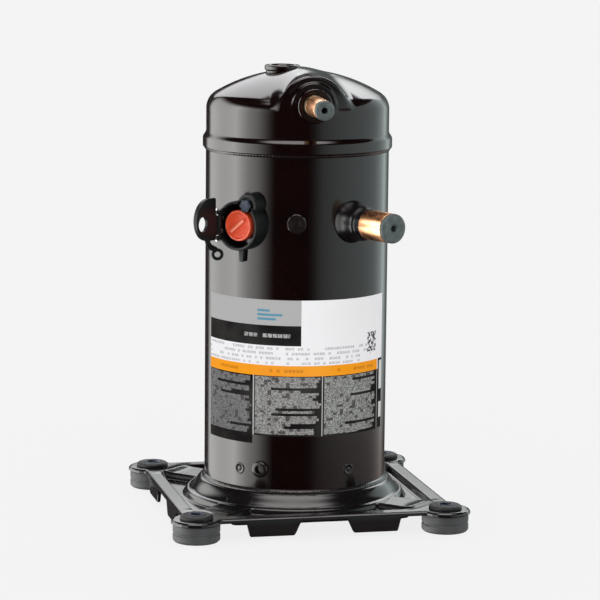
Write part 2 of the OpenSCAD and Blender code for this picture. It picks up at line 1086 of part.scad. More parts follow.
// Winding heads above and below the core, joined by the coil sides in the slots
module windings() {
    head = [for (a = [0:30:330]) [50 + 10 * cos(a), 11 * sin(a)]];
    color("#b4683c") {
        for (z = [stator_z - 11, stator_top + 11])
            translate([0, 0, z])
                rotate_extrude()
                    polygon(head);
        for (i = [0:slots - 1])
            rotate([0, 0, 360 * i / slots])
                translate([0, 0, stator_z - 6])
                    linear_extrude(stack + 12)
                        translate([1, 0])
                            slot_outline(2.3, 14);
    }
}

module motor_protector() {
    color("#d9d4c4")
    rotate([0, 0, 100])
        translate([50, 0, stator_top + 22 + 5.1])
            rotate([90, 0, 0])
                cylinder(r = 5, h = 22, center = true);
}

module lower_bearing_frame() {
    color("#6b6d6e")
    difference() {
        union() {
            disc(15, 39, 50);
            intersection() {
                disc(bore_r, 41, 47);
                union() {
                    for (a = lower_arm_angles)
                        port(a, 0)
                            box([-7, 41, 8], [7, 47, 70]);
                }
            }
        }
        disc(lower_seat_r, 38, 51);
    }
}

module lower_bearing() {
    color("#b5884f")
    tube(lower_seat_r, lower_journal_r + 0.03, 39.5, 49.5);
}

module thrust_washer() {
    color("#9fa2a4")
    tube(14.5, lower_journal_r + 0.1, 50, 52);
}

module oil_pickup() {
    color("#84878a")
    difference() {
        translate([0, 0, 15])
            cylinder(r1 = 3.5, r2 = 8, h = 9);
        disc(1.5, 14, 25);
    }
}

module sump_magnet() {
    color("#35383a")
    translate([30, 0, 0])
        disc(9, 9 + shell_wall, 13 + shell_wall);
}

top_cap();
top_button();
main_shell();
bottom_cap();
base_plate();
rubber_feet();
foot_sleeves();
weld_beads();
plug_welds();
oil_port();
rating_label();
suction_spud();
suction_stub();
suction_plug();
discharge_collar();
discharge_stub();
discharge_plug();
terminal_fence();
terminal_block();
terminal_cover();
cover_hinge_pin();
fence_clips();
ground_screw();
hermetic_terminal();
glass_seals();
terminal_pins();
lead_wires();
muffler_plate();
check_valve_cage();
check_valve_disc();
floating_seal();
fixed_scroll();
guide_sleeves();
guide_bolts();
orbiting_scroll();
hub_bearing();
drive_bushing();
oldham_ring();
oldham_keys();
thrust_plate();
main_bearing_housing();
main_bearing();
crankshaft();
upper_counterweight();
lower_counterweight();
rotor_core();
rotor_cage();
stator_core();
windings();
motor_protector();
lower_bearing_frame();
lower_bearing();
thrust_washer();
oil_pickup();
sump_magnet();
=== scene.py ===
import json
import math
import bmesh
import bpy
import numpy as np
from mathutils import Matrix, Vector


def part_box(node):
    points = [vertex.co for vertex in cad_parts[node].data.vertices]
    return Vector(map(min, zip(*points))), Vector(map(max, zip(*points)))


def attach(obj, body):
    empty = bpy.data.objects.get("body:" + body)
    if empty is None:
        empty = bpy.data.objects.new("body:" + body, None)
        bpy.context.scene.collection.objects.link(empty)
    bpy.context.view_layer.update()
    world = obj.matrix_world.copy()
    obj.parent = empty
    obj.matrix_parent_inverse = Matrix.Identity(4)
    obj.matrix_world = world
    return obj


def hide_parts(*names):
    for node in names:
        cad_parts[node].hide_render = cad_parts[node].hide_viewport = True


# Looks of a hermetic scroll compressor on its mounting plate, built around its CAD frame.
# Lengths are millimetres until a mesh is made. Bearings are degrees round the shell from -Y
# towards +X. A port is a place on the shell's wall, with X to the right, Y up and Z outwards.

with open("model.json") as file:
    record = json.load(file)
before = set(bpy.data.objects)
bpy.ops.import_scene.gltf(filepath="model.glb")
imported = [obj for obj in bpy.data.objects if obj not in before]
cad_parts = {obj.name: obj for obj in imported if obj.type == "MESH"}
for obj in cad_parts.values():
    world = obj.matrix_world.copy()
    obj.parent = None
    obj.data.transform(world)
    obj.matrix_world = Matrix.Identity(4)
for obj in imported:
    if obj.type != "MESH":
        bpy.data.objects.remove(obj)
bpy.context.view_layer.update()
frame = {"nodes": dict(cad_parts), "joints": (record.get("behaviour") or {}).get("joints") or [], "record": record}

MM = 0.001
CAMERA_BEARING = -12.79
CAMERA_LENS = 170.272
CAMERA_SHIFT = (0.0070067, 0.02306)
CAMERA_PLACE = (-0.4782, -2.1064, 0.4958)
CAMERA_TURN = (1.4132, -0.0097, -0.2217)

# Distances from the axis: where black paint stops on the suction stub, the face of the terminal
# block, and the cut ends of the two stubs
OVERSPRAY = 91.5
BLOCK_OUT = 80.0
SUCTION_MOUTH = 116.0
DISCHARGE_MOUTH = 103.5

# Degrees between the horizontal and the block's grip rib
RIB_LEAN = 40.0

# Plug welds: how many, bearing of the first, height, radius
UPPER_WELDS = (3, -12.8, 231, 7.2)
LOWER_WELDS = (5, -49, 43, 4.3)

# The label's bearings: left end, edge of the deep column, right end of the print, right end
LABEL_FIRST, LABEL_DEEP, LABEL_PRINT, LABEL_LAST = -79.5, -40, 49.5, 56.5
# The label's levels: orange band, then black band, with the grey field above that
ORANGE_LOW, ORANGE_HIGH, BAND_LOW, BAND_HIGH = 116, 124, 139.1, 154.3
LABEL_BLACK = (0.01, 0.009, 0.009)


# ---- Places, read from the frame --------------------------------------------------------

def span(node):
    """Lowest and highest corners of a CAD node, in millimetres."""
    low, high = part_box(node)
    return np.array(low) / MM, np.array(high) / MM


def port(bearing, height):
    """Matrix from a port's own millimetres to the object's millimetres."""
    a = math.radians(bearing)
    return Matrix((
        (math.cos(a), 0, math.sin(a), 0),
        (math.sin(a), 0, -math.cos(a), 0),
        (0, 1, 0, height),
        (0, 0, 0, 1),
    ))


def mount_port(name):
    """Port whose axis is a named mount's axis."""
    mount = next(m for m in frame["record"]["mounts"] if m["name"] == name)
    x, y, _ = mount["axis"]
    return math.degrees(math.atan2(x, -y)), mount["pos_m"][2] / MM


def bearing_of(node):
    """Bearing and height of a CAD node's middle."""
    low, high = span(node)
    x, y, z = (low + high) / 2
    return math.degrees(math.atan2(x, -y)), z


SHELL_LOW, SHELL_HIGH = span("main_shell")
SHELL_R = SHELL_HIGH[0]
CAP_LOW, CAP_HIGH = span("top_cap")
SKIRT_R = CAP_HIGH[0]
PLATE_LOW, PLATE_HIGH = span("base_plate")
COLLAR_TOP = PLATE_HIGH[2]
SUCTION = mount_port("suction_tube")
DISCHARGE = mount_port("discharge_tube")
TERMINAL = bearing_of("hermetic_terminal")
FOOT = next(m for m in frame["record"]["mounts"] if m["name"] == "foot_bolts")["dims"]["spacing_x_mm"] / 2
COVER_JOINT = next(j for j in frame["joints"] if j["name"] == "cover_swing")


# ---- Node graphs ------------------------------------------------------------------------

class Value:
    """A socket in a node tree, with arithmetic."""

    def __init__(self, graph, socket):
        self.graph = graph
        self.socket = socket

    def __add__(self, other):
        return self.graph.math("ADD", self, other)

    def __sub__(self, other):
        return self.graph.math("SUBTRACT", self, other)

    def __rsub__(self, other):
        return self.graph.math("SUBTRACT", other, self)

    def __mul__(self, other):
        return self.graph.math("MULTIPLY", self, other)

    def __truediv__(self, other):
        return self.graph.math("DIVIDE", self, other)

    __radd__ = __add__
    __rmul__ = __mul__

    def abs(self):
        return self.graph.math("ABSOLUTE", self)

    def floor(self):
        return self.graph.math("FLOOR", self)

    def part(self):
        return self.graph.math("FRACT", self)

    def below(self, limit):
        return self.graph.math("LESS_THAN", self, limit)

    def above(self, limit):
        return self.graph.math("GREATER_THAN", self, limit)

    def between(self, low, high):
        return self.above(low) * self.below(high)

    def fade(self, start, end):
        """0 at start and 1 at end, with a smooth run between."""
        return self.graph.spread(self, start, end)


class Graph:
    """A node tree, with short calls for the nodes that the materials share."""

    def __init__(self, tree):
        self.tree = tree
        tree.nodes.clear()

    def node(self, kind, inputs=(), **settings):
        made = self.tree.nodes.new(kind)
        for key, value in settings.items():
            setattr(made, key, value)
        for key, value in dict(inputs).items():
            self.feed(made.inputs[key], value)
        return made

    def feed(self, socket, value):
        if isinstance(value, Value):
            self.tree.links.new(value.socket, socket)
        elif isinstance(value, tuple) and len(value) == 3 and socket.type == "RGBA":
            socket.default_value = (*value, 1)
        else:
            socket.default_value = value

    def out(self, made, name=0):
        return Value(self, made.outputs[name])

    def math(self, operation, *values):
        made = self.node("ShaderNodeMath", operation=operation)
        for socket, value in zip(made.inputs, values):
            self.feed(socket, value)
        return self.out(made)

    def spread(self, value, start, end):
        made = self.node("ShaderNodeMapRange", interpolation_type="SMOOTHSTEP", inputs={
            "Value": value, "From Min": start, "From Max": end})
        return self.out(made)

    def mix(self, factor, first, second):
        made = self.node("ShaderNodeMix", data_type="RGBA")
        self.feed(made.inputs[0], factor)
        self.feed(made.inputs[6], first)
        self.feed(made.inputs[7], second)
        return self.out(made, 2)

    def place(self, stretch=(1, 1, 1)):
        """Position in the piece's own millimetres, as one vector."""
        made = self.node("ShaderNodeTexCoord")
        scaled = self.node("ShaderNodeVectorMath", operation="MULTIPLY")
        self.feed(scaled.inputs[0], self.out(made, "Object"))
        scaled.inputs[1].default_value = [s / MM for s in stretch]
        return self.out(scaled)

    def axes(self, vector):
        made = self.node("ShaderNodeSeparateXYZ", {0: vector})
        return [self.out(made, i) for i in range(3)]

    def vector(self, x, y, z):
        return self.out(self.node("ShaderNodeCombineXYZ", {0: x, 1: y, 2: z}))

    def noise(self, size, detail=2, vector=None, roughness=0.5):
        """Smooth noise from 0 to 1 whose lumps are about size millimetres across."""
        made = self.node("ShaderNodeTexNoise", {
            "Vector": vector or self.place(), "Scale": 1 / size, "Detail": detail, "Roughness": roughness})
        return self.out(made)

    def speckle(self, vector):
        return self.out(self.node("ShaderNodeTexWhiteNoise", {"Vector": vector}), "Value")

    def bump(self, height, depth):
        """Normal from a height of 0 to 1 that stands for depth millimetres."""
        made = self.node("ShaderNodeBump", {"Height": height, "Distance": depth * MM, "Strength": 1.0})
        return self.out(made)


MATERIALS = {}


def material(name):
    """An empty material and the graph of its nodes."""
    made = bpy.data.materials.new(name)
    made.use_nodes = True
    graph = Graph(made.node_tree)
    return made, graph


def finish_material(made, graph, **inputs):
    """Puts one Principled shader on a material, with the given inputs."""
    names = {
        "color": "Base Color", "metal": "Metallic", "rough": "Roughness", "normal": "Normal", "ior": "IOR",
        "specular": "Specular IOR Level", "coat": "Coat Weight", "coat_rough": "Coat Roughness",
        "sss": "Subsurface Weight", "sss_scale": "Subsurface Scale",
    }
    shader = graph.node("ShaderNodeBsdfPrincipled", {names[k]: v for k, v in inputs.items()})
    output = graph.node("ShaderNodeOutputMaterial")
    graph.tree.links.new(shader.outputs[0], output.inputs["Surface"])
    return made


def once(build):
    """Makes a material the first time it is asked for."""
    def get():
        if build.__name__ not in MATERIALS:
            made, graph = material(build.__name__)
            MATERIALS[build.__name__] = finish_material(made, graph, **build(graph))
        return MATERIALS[build.__name__]
    return get


# ---- Materials --------------------------------------------------------------------------

def paint(graph, color, rough, peel):
    """Sprayed gloss enamel: orange peel, a few runs in the gloss, and dust nibs."""
    cloud = graph.noise(38, 3)
    fine = graph.noise(1.6, 1)
    dust = graph.noise(0.35, 0).fade(0.74, 0.8)
    tone = graph.mix(cloud.fade(0.35, 0.7), color, tuple(c * 0.62 for c in color))
    return {
        "color": graph.mix(dust * 0.25, tone, (0.05, 0.05, 0.05)),
        "rough": cloud * 0.05 + dust * 0.2 + rough,
        "ior": 1.5,
        "normal": graph.bump(fine + graph.noise(9, 1) * 2, peel),
    }


def two_tone(graph, tone, first, second, skin, rough, gain, depth, metal=1.0):
    """Two colours mixed by one pattern, on a skin whose pattern roughens and lifts the surface."""
    return {
        "color": graph.mix(tone, first, second), "metal": metal,
        "rough": skin * gain + rough, "normal": graph.bump(skin, depth),
    }


@once
def shell_paint(graph):
    return paint(graph, (0.006, 0.0015, 0.0015), 0.09, 0.0035)


@once
def plate_paint(graph):
    return paint(graph, (0.008, 0.007, 0.007), 0.12, 0.006)


@once
def weld_paint(graph):
    return paint(graph, (0.012, 0.008, 0.008), 0.17, 0.03)


@once
def fitting_paint(graph):
    return {**paint(graph, (0.005, 0.004, 0.005), 0.24, 0.008), "specular": 0.3}


def drawn_copper(graph):
    """Drawn copper tube with faint draw lines and a light brown tarnish."""
    along = graph.noise(1, 3, graph.place((2.2, 2.2, 0.03)))
    stain = graph.noise(7, 4).fade(0.42, 0.72)
    spots = graph.noise(0.9, 2).fade(0.66, 0.76)
    clean = graph.mix(along, (0.93, 0.5, 0.27), (0.84, 0.4, 0.2))
    tarnished = graph.mix(stain * 0.55, clean, (0.42, 0.16, 0.075))
    return {
        "color": graph.mix(spots * 0.4, tarnished, (0.2, 0.075, 0.04)),
        "metal": 1.0,
        "rough": stain * 0.12 + along * 0.06 + 0.24,
        "normal": graph.bump(along, 0.012),
    }


@once
def copper(graph):
    return drawn_copper(graph)


@once
def suction_copper(graph):
    """Copper whose root has caught the black paint, with an uneven edge."""
    looks = drawn_copper(graph)
    out = graph.axes(graph.place())[2] + graph.noise(3, 2) * 1.2
    bare = out.fade(OVERSPRAY - 0.25, OVERSPRAY + 0.25)
    looks["color"] = graph.mix(bare, (0.006, 0.006, 0.008), looks["color"])
    looks["rough"] = looks["rough"] * bare + (1 - bare) * 0.2
    looks["metal"] = bare
    return looks


@once
def braze(graph):
    """Silver braze run out in a thin fillet."""
    lumps = graph.noise(1.4, 3)
    return two_tone(graph, lumps, (0.7, 0.62, 0.44), (0.48, 0.36, 0.22), lumps, 0.2, 0.2, 0.08)


@once
def foot_rubber(graph):
    """Moulded rubber, dusted grey, with a fine matt skin."""
    skin = graph.noise(0.5, 3)
    dust = graph.noise(11, 4).fade(0.38, 0.78)
    scuff = graph.noise(2.4, 3).fade(0.6, 0.72)
    under_plate = graph.axes(graph.place())[2].fade(17.4, 16.4)
    base = graph.mix(dust * 0.6, (0.05, 0.051, 0.053), (0.085, 0.087, 0.09))
    base = graph.mix(under_plate, (0.008, 0.008, 0.009), base)
    return {
        "color": graph.mix(scuff * 0.3, base, (0.085, 0.085, 0.085)),
        "rough": 0.55 + dust * 0.16, "normal": graph.bump(skin, 0.03), "specular": 0.4,
    }


@once
def plug_rubber(graph):
    """Soft grey-green shipping plug."""
    skin = graph.noise(0.6, 3)
    bloom = graph.noise(5, 3).fade(0.35, 0.75)
    return {
        "color": graph.mix(bloom, (0.055, 0.072, 0.072), (0.1, 0.125, 0.12)),
        "rough": 0.42 + skin * 0.15, "normal": graph.bump(skin, 0.03), "sss": 0.05, "sss_scale": 0.002,
    }


@once
def red_moulding(graph):
    """Glass-filled red thermoset with a slightly mottled skin, and a painted highlight: paler pink on the raised
    grip rib and face rim.
    """
    flow = graph.noise(3.5, 3, graph.place((1, 0.5, 1)))
    glass = graph.noise(0.25, 1).fade(0.62, 0.75)
    base = graph.mix(flow, (0.86, 0.105, 0.035), (0.7, 0.06, 0.018))
    out = graph.axes(graph.place())[2]
    # Painted highlight: faces standing out past the block's face, mostly the grip rib's top, are painted paler
    # pink.
    base = graph.mix(out.fade(BLOCK_OUT - 0.3, BLOCK_OUT + 1.0), base, (0.97, 0.26, 0.16))
    return {
        "color": graph.mix(glass * 0.25, base, (0.85, 0.35, 0.22)),
        "rough": 0.28 + flow * 0.14, "normal": graph.bump(glass + flow, 0.02),
        "sss": 0.12, "sss_scale": 0.001, "coat": 0.3, "coat_rough": 0.2,
    }


@once
def black_moulding(graph):
    """Moulded black plastic with a light spark-eroded grain."""
    grain = graph.noise(0.45, 2)
    flow = graph.noise(9, 2)
    return {
        "color": graph.mix(flow, (0.0045, 0.006, 0.006), (0.009, 0.011, 0.011)),
        "rough": 0.34 + flow * 0.12, "normal": graph.bump(grain, 0.018), "specular": 0.22,
    }


@once
def zinc_steel(graph):
    """Bright zinc plate with a crystalline bloom."""
    spangle = graph.noise(1.2, 3)
    rub = graph.noise(1, 2, graph.place((6, 0.4, 6)))
    return two_tone(graph, spangle, (0.74, 0.75, 0.76), (0.5, 0.51, 0.52), rub, 0.25, 0.2, 0.008)


@once
def dark_zinc(graph):
    """Zinc plate gone dull, with a blue-grey cast."""
    bloom = graph.noise(1.0, 3)
    return two_tone(graph, bloom, (0.075, 0.09, 0.12), (0.03, 0.035, 0.045), bloom, 0.48, 0.15, 0.02)


@once
def machined_steel(graph):
    """Turned steel with fine tool marks."""
    marks = graph.noise(1, 2, graph.place((0.15, 0.15, 9)))
    return two_tone(graph, graph.noise(14, 3), (0.5, 0.51, 0.52), (0.38, 0.385, 0.39),
                    marks, 0.24, 0.16, 0.012)


@once
def lamination_steel(graph):
    """Stacked half-millimetre laminations with a brown oxide."""
    sheets = (graph.axes(graph.place())[2] * 2).part().fade(0.0, 0.25)
    return {
        "color": graph.mix(graph.noise(8, 3), (0.2, 0.185, 0.17), (0.12, 0.1, 0.09)), "metal": 0.8,
        "rough": 0.5, "normal": graph.bump(sheets, 0.05),
    }


@once
def cast_iron(graph):
    """Grey iron casting with a sandy skin."""
    sand = graph.noise(0.8, 4, roughness=0.65)
    return two_tone(graph, graph.noise(12, 3), (0.13, 0.13, 0.135), (0.085, 0.085, 0.085),
                    sand, 0.55, 0.2, 0.12, metal=0.6)


@once
def cast_aluminium(graph):
    """Die-cast aluminium with soft flow marks."""
    flow = graph.noise(6, 4)
    return two_tone(graph, flow, (0.7, 0.71, 0.72), (0.55, 0.56, 0.57), flow, 0.34, 0.15, 0.05)


@once
def bearing_bronze(graph):
    """Sintered bronze with open pores."""
    pores = graph.noise(0.4, 2).fade(0.6, 0.7)
    return {
        "color": graph.mix(pores, (0.62, 0.42, 0.2), (0.25, 0.15, 0.07)), "metal": 1.0,
        "rough": 0.32 + pores * 0.3, "normal": graph.bump(1 - pores, 0.02),
    }


@once
def brass_pins(graph):
    """Turned brass pins, dulled at the ends."""
    marks = graph.noise(1, 2, graph.place((0.3, 0.3, 7)))
    return two_tone(graph, marks, (0.78, 0.6, 0.28), (0.6, 0.43, 0.18), marks, 0.22, 0.15, 0.01)


@once
def seal_glass(graph):
    """Dark green sealing glass with small bubbles."""
    bubbles = graph.noise(0.3, 1).fade(0.68, 0.76)
    return {
        "color": graph.mix(bubbles, (0.03, 0.075, 0.07), (0.2, 0.27, 0.25)), "rough": 0.08 + bubbles * 0.1,
        "normal": graph.bump(bubbles, 0.01),
    }


@once
def pale_moulding(graph):
    """Cream phenolic case."""
    flow = graph.noise(4, 3)
    return {
        "color": graph.mix(flow, (0.62, 0.57, 0.44), (0.5, 0.45, 0.34)), "rough": 0.5,
        "normal": graph.bump(flow, 0.02),
    }


@once
def wire_jacket(graph):
    """Red braided sleeving on the motor leads."""
    x, y, z = graph.axes(graph.place())
    weave = ((x + z) * 1.4).part().fade(0, 0.4) * ((x - z) * 1.4).part().fade(0, 0.4)
    return {
        "color": graph.mix(weave, (0.16, 0.012, 0.008), (0.42, 0.04, 0.025)), "rough": 0.6,
        "normal": graph.bump(weave, 0.08),
    }


def text_lines(graph, bearing, height, pitch, word, seed, fill=0.62):
    """Rows of short dashes that stand for small print, 1 on the ink."""
    line = (height / pitch).floor()
    level = (height / pitch).part()
    shift = graph.speckle(graph.vector(line, seed, 0.5))
    run = bearing / word + shift * 7
    cell = graph.speckle(graph.vector(run.floor(), line, seed))
    inked = cell.below(fill) * run.part().below(0.86)
    stroke = graph.vector((bearing / (word * 0.13)).floor(), (height / (pitch * 0.22)).floor(), line)
    strokes = graph.speckle(stroke)
    return inked * level.between(0.22, 0.74) * (strokes.above(0.25) * 0.7 + 0.3)


def label_heading(graph, b, z, colour):
    """Upper fields of the label: grey field with a plain device, black band and small print."""
    left = b.below(-9.3)
    colour = graph.mix(left * z.above(BAND_HIGH), colour, (0.445, 0.45, 0.445))
    device = (z.between(164.6, 166.4) * b.between(-37, -29) + z.between(161.4, 163.2) * b.between(-37, -21)
              + z.between(158.2, 160.0) * b.between(-37, -25))
    colour = graph.mix(device, colour, (0.12, 0.3, 0.42))
    band = left * z.between(BAND_LOW, BAND_HIGH)
    colour = graph.mix(band, colour, LABEL_BLACK)
    dashes = text_lines(graph, b, z - 144, 5.4, 3.2, 3, 0.92) * b.between(-46, -16) * z.between(144, 149.4)
    colour = graph.mix(band * dashes, colour, (0.42, 0.42, 0.42))
    small = text_lines(graph, b, z - 124, 3.7, 1.9, 11, 0.6) * z.between(125, 138.4) * b.between(-80, 42)
    colour = graph.mix(small * 0.6, colour, (0.3, 0.3, 0.33))
    tile = graph.speckle(graph.vector((b * 1.05).floor(), (z / 1.25).floor(), 2)).above(0.45)
    return graph.mix(tile * b.between(38, 47.5) * z.between(131, 146), colour, (0.1, 0.1, 0.11))


def label_table(graph, b, z, colour):
    """Lower columns: light print with ragged ends on black."""
    colour = graph.mix(z.below(ORANGE_LOW), colour, LABEL_BLACK)
    column = b.above(-39.3) + b.above(4.2)
    across = (b + 82.6 - column * 43.7) / 43.7
    line = (z / 1.95).floor()
    long_end = graph.speckle(graph.vector(line, column, 0.3)) * -0.13 + 0.975
    short_end = graph.speckle(graph.vector(line, column, 7.7)) * 0.5 + 0.25
    is_short = graph.speckle(graph.vector(line, column, 4.1)).above(0.8)
    end = long_end * (1 - is_short) + short_end * is_short
    grain = graph.speckle(graph.vector((b / 0.62).floor(), (z / 0.65).floor(), column))
    words = graph.speckle(graph.vector((b / 2.3).floor(), line, column)).above(0.12)
    later = graph.mix(column / 2, (0.36, 0.34, 0.35), (0.34, 0.37, 0.34))
    tint = graph.mix(0.25, graph.mix(column, (0.13, 0.135, 0.145), later), (0.6, 0.58, 0.57))
    print_tone = graph.mix(grain * words, (0.08, 0.075, 0.075), tint)
    printed = z.between(71.5, 115.4) * b.below(LABEL_PRINT) * across.above(0.015) * (end - across).above(0)
    colour = graph.mix(printed, colour, print_tone)
    rules = (b + 39.3).abs().below(0.4) + (b - 4.2).abs().below(0.28) + (b - 49.6).abs().below(0.25)
    colour = graph.mix(rules * z.between(70.2, ORANGE_LOW), colour, (0.5, 0.5, 0.5))
    blocks = graph.speckle(graph.vector((z / 5).floor(), 1, 1)).above(0.3)
    margin = b.between(52.5, 58) * z.between(78, 122) * blocks
    colour = graph.mix(b.above(50.6) * z.below(ORANGE_HIGH), colour, LABEL_BLACK)
    return graph.mix(margin, colour, (0.72, 0.72, 0.7))


@once
def label_film(graph):
    """Wrap-round label: colour fields, rules and dashes in place of any words."""
    x, y, z = graph.axes(graph.place())
    b = graph.math("ARCTAN2", x, 0 - y) * (180 / math.pi)
    colour = label_heading(graph, b, z, (0.9, 0.9, 0.915))
    colour = label_table(graph, b, z, colour)
    orange = z.between(ORANGE_LOW, ORANGE_HIGH) * b.below(LABEL_PRINT)
    ink = graph.mix(graph.noise(16, 1), (0.98, 0.39, 0.02), (0.93, 0.31, 0.012))
    colour = graph.mix(orange, colour, ink)
    headed = b.between(-66, -50) + b.between(-29, -5) + b.between(14, 19) + b.between(24, 44)
    captions = text_lines(graph, b, z - 117.9, 4.4, 2.4, 5, 0.85) * z.between(118, 122.2) * headed
    colour = graph.mix(orange * captions * 0.7, colour, (0.5, 0.16, 0.01))
    crease = graph.noise(26, 2)
    return {
        "color": graph.mix(crease.fade(0.3, 0.8) * 0.06, colour, (0.5, 0.5, 0.48)),
        "rough": 0.45 + crease * 0.08, "ior": 1.04, "normal": graph.bump(crease, 0.05),
    }


SLOT_MATERIALS = {
    "black_paint": shell_paint, "plate_paint": plate_paint, "foot_rubber": foot_rubber,
    "plug_rubber": plug_rubber, "zinc_steel": zinc_steel, "machined_steel": machined_steel,
    "lamination_steel": lamination_steel, "cast_iron": cast_iron, "cast_aluminium": cast_aluminium,
    "bearing_bronze": bearing_bronze, "brass_pins": brass_pins, "copper": copper,
    "label_film": label_film, "red_moulding": red_moulding, "black_moulding": black_moulding,
    "pale_moulding": pale_moulding, "wire_jacket": wire_jacket, "seal_glass": seal_glass,
}


def dress_cad_nodes():
    """Gives every CAD node the procedural material of its slot."""
    for subpart in frame["record"]["subparts"]:
        mesh = frame["nodes"][subpart["node"]].data
        mesh.materials.clear()
        mesh.materials.append(SLOT_MATERIALS[subpart["material_slot"]]())


# ---- Shape helpers ----------------------------------------------------------------------

def piece(name, shape, look, body="housing", place=None, stands_for=(), sharp=40):
    """Makes an object from (vertices, faces) in a port's or the object's millimetres."""
    verts, faces = shape
    mesh = bpy.data.meshes.new(name)
    mesh.from_pydata((np.asarray(verts, float) * MM).tolist(), [], faces)
    mesh.validate()
    sculpt = bmesh.new()
    sculpt.from_mesh(mesh)
    bmesh.ops.recalc_face_normals(sculpt, faces=sculpt.faces)
    sculpt.to_mesh(mesh)
    sculpt.free()
    made = bpy.data.objects.new(name, mesh)
    bpy.context.scene.collection.objects.link(made)
    if place is not None:
        made.matrix_world = Matrix.Translation(place.to_translation() * MM) @ place.to_3x3().to_4x4()
    mesh.polygons.foreach_set("use_smooth", [True] * len(mesh.polygons))
    mesh.set_sharp_from_angle(angle=math.radians(sharp))
    mesh.materials.append(look())
    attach(made, body)
    if stands_for:
        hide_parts(*stands_for)
    return made


def merge(*shapes):
    """Several shapes as one."""
    verts, faces = [], []
    for more_verts, more_faces in shapes:
        start = len(verts)
        verts.extend(np.asarray(more_verts, float).reshape(-1, 3).tolist())
        faces.extend([tuple(i + start for i in face) for face in more_faces])
    return verts, faces


def moved(shape, offset=(0, 0, 0), turn=None):
    verts = np.asarray(shape[0], float)
    if turn is not None:
        verts = verts @ np.array(turn.to_3x3()).T
    return verts + np.array(offset), shape[1]


def grid(points, wrap_rows=False, wrap_columns=False):
    """Quads over a rows x columns array of points; points that meet are joined."""
    rows, columns = points.shape[:2]
    flat = points.reshape(-1, 3)
    keys = np.round(flat / 1e-4).astype(np.int64)
    _, first, index = np.unique(keys, axis=0, return_index=True, return_inverse=True)
    index = index.reshape(rows, columns)
    faces = []
    for i in range(rows if wrap_rows else rows - 1):
        for j in range(columns if wrap_columns else columns - 1):
            k, m = (i + 1) % rows, (j + 1) % columns
            ring = list(dict.fromkeys([index[i, j], index[i, m], index[k, m], index[k, j]]))
            if len(ring) > 2:
                faces.append(tuple(int(v) for v in ring))
    return flat[first], faces


def rounded(corners, steps=5):
    """Closed outline of (x, y, corner radius) points, with each corner turned into an arc."""
    points = []
    count = len(corners)
    for i, (x, y, radius) in enumerate(corners):
        here = np.array([x, y], float)
        if radius <= 0:
            points.append(here)
            continue
        back = np.array(corners[i - 1][:2], float) - here
        ahead = np.array(corners[(i + 1) % count][:2], float) - here
        back_length, ahead_length = np.linalg.norm(back), np.linalg.norm(ahead)
        back, ahead = back / back_length, ahead / ahead_length
        half = math.acos(max(-1, min(1, float(back @ ahead)))) / 2
        reach = min(radius / math.tan(half), 0.48 * back_length, 0.48 * ahead_length)
        radius = reach * math.tan(half)
        middle = here + (back + ahead) / np.linalg.norm(back + ahead) * (radius / math.sin(half))
        start = here + back * reach - middle
        end = here + ahead * reach - middle
        sweep = math.atan2(start[0] * end[1] - start[1] * end[0], float(start @ end))
        for k in range(steps + 1):
            a = sweep * k / steps
            c, s = math.cos(a), math.sin(a)
            points.append(middle + np.array([c * start[0] - s * start[1], s * start[0] + c * start[1]]))
    return np.array(points)


def lathe(corners, segments=144, steps=5, ripple=None):
    """Solid of revolution about Z from a closed outline of (radius, height, corner radius)."""
    outline = rounded(corners, steps)
    angles = np.linspace(0, 2 * math.pi, segments, endpoint=False)
    radius = np.repeat(outline[:, :1], segments, axis=1)
    height = np.repeat(outline[:, 1:2], segments, axis=1)
    if ripple is not None:
        radius, height = ripple(radius, height, angles)
    points = np.stack([radius * np.cos(angles), radius * np.sin(angles), height], axis=-1)
    return grid(points, wrap_rows=True, wrap_columns=True)


def resampled(outline, count):
    """Points at equal steps round a closed outline."""
    closed = np.vstack([outline, outline[:1]])
    length = np.concatenate([[0], np.cumsum(np.linalg.norm(np.diff(closed, axis=0), axis=1))])
    at = np.linspace(0, length[-1], count, endpoint=False)
    return np.stack([np.interp(at, length, closed[:, k]) for k in range(2)], axis=1)


def slab(corners, low, high, edge, count=200, hole=None):
    """Plate from a closed outline, with its rim rounded by edge and an optional round hole."""
    outline = resampled(rounded(corners, 8), count)
    ahead = np.roll(outline, -1, axis=0) - np.roll(outline, 1, axis=0)
    normal = np.stack([ahead[:, 1], -ahead[:, 0]], axis=1) / np.linalg.norm(ahead, axis=1)[:, None]
    area = np.sum(outline[:, 0] * np.roll(outline[:, 1], -1) - outline[:, 1] * np.roll(outline[:, 0], -1))
    normal *= np.sign(area)
    centre, radius = (np.mean(outline, axis=0), 0) if hole is None else (np.array(hole[:2], float), hole[2])
    spoke = outline - centre
    inner = centre + spoke / np.linalg.norm(spoke, axis=1)[:, None] * radius
    rows = []
    for k in range(7):
        a = math.pi / 2 * k / 6
        rows.append((outline - normal * edge * (1 - math.sin(a)), low + edge * (1 - math.cos(a))))
    rows += [(flat, high - (level - low)) for flat, level in reversed(rows)]
    lip = min(edge, 0.4)
    if radius:
        middle_out = centre + spoke / np.linalg.norm(spoke, axis=1)[:, None] * (radius + lip)
        rows += [(middle_out, high), (inner, high - lip), (inner, low + lip), (middle_out, low)]
    else:
        rows += [(inner, high), (inner, low)]
    points = np.array([np.column_stack([flat, np.full(count, level)]) for flat, level in rows])
    return grid(points, wrap_rows=True, wrap_columns=True)


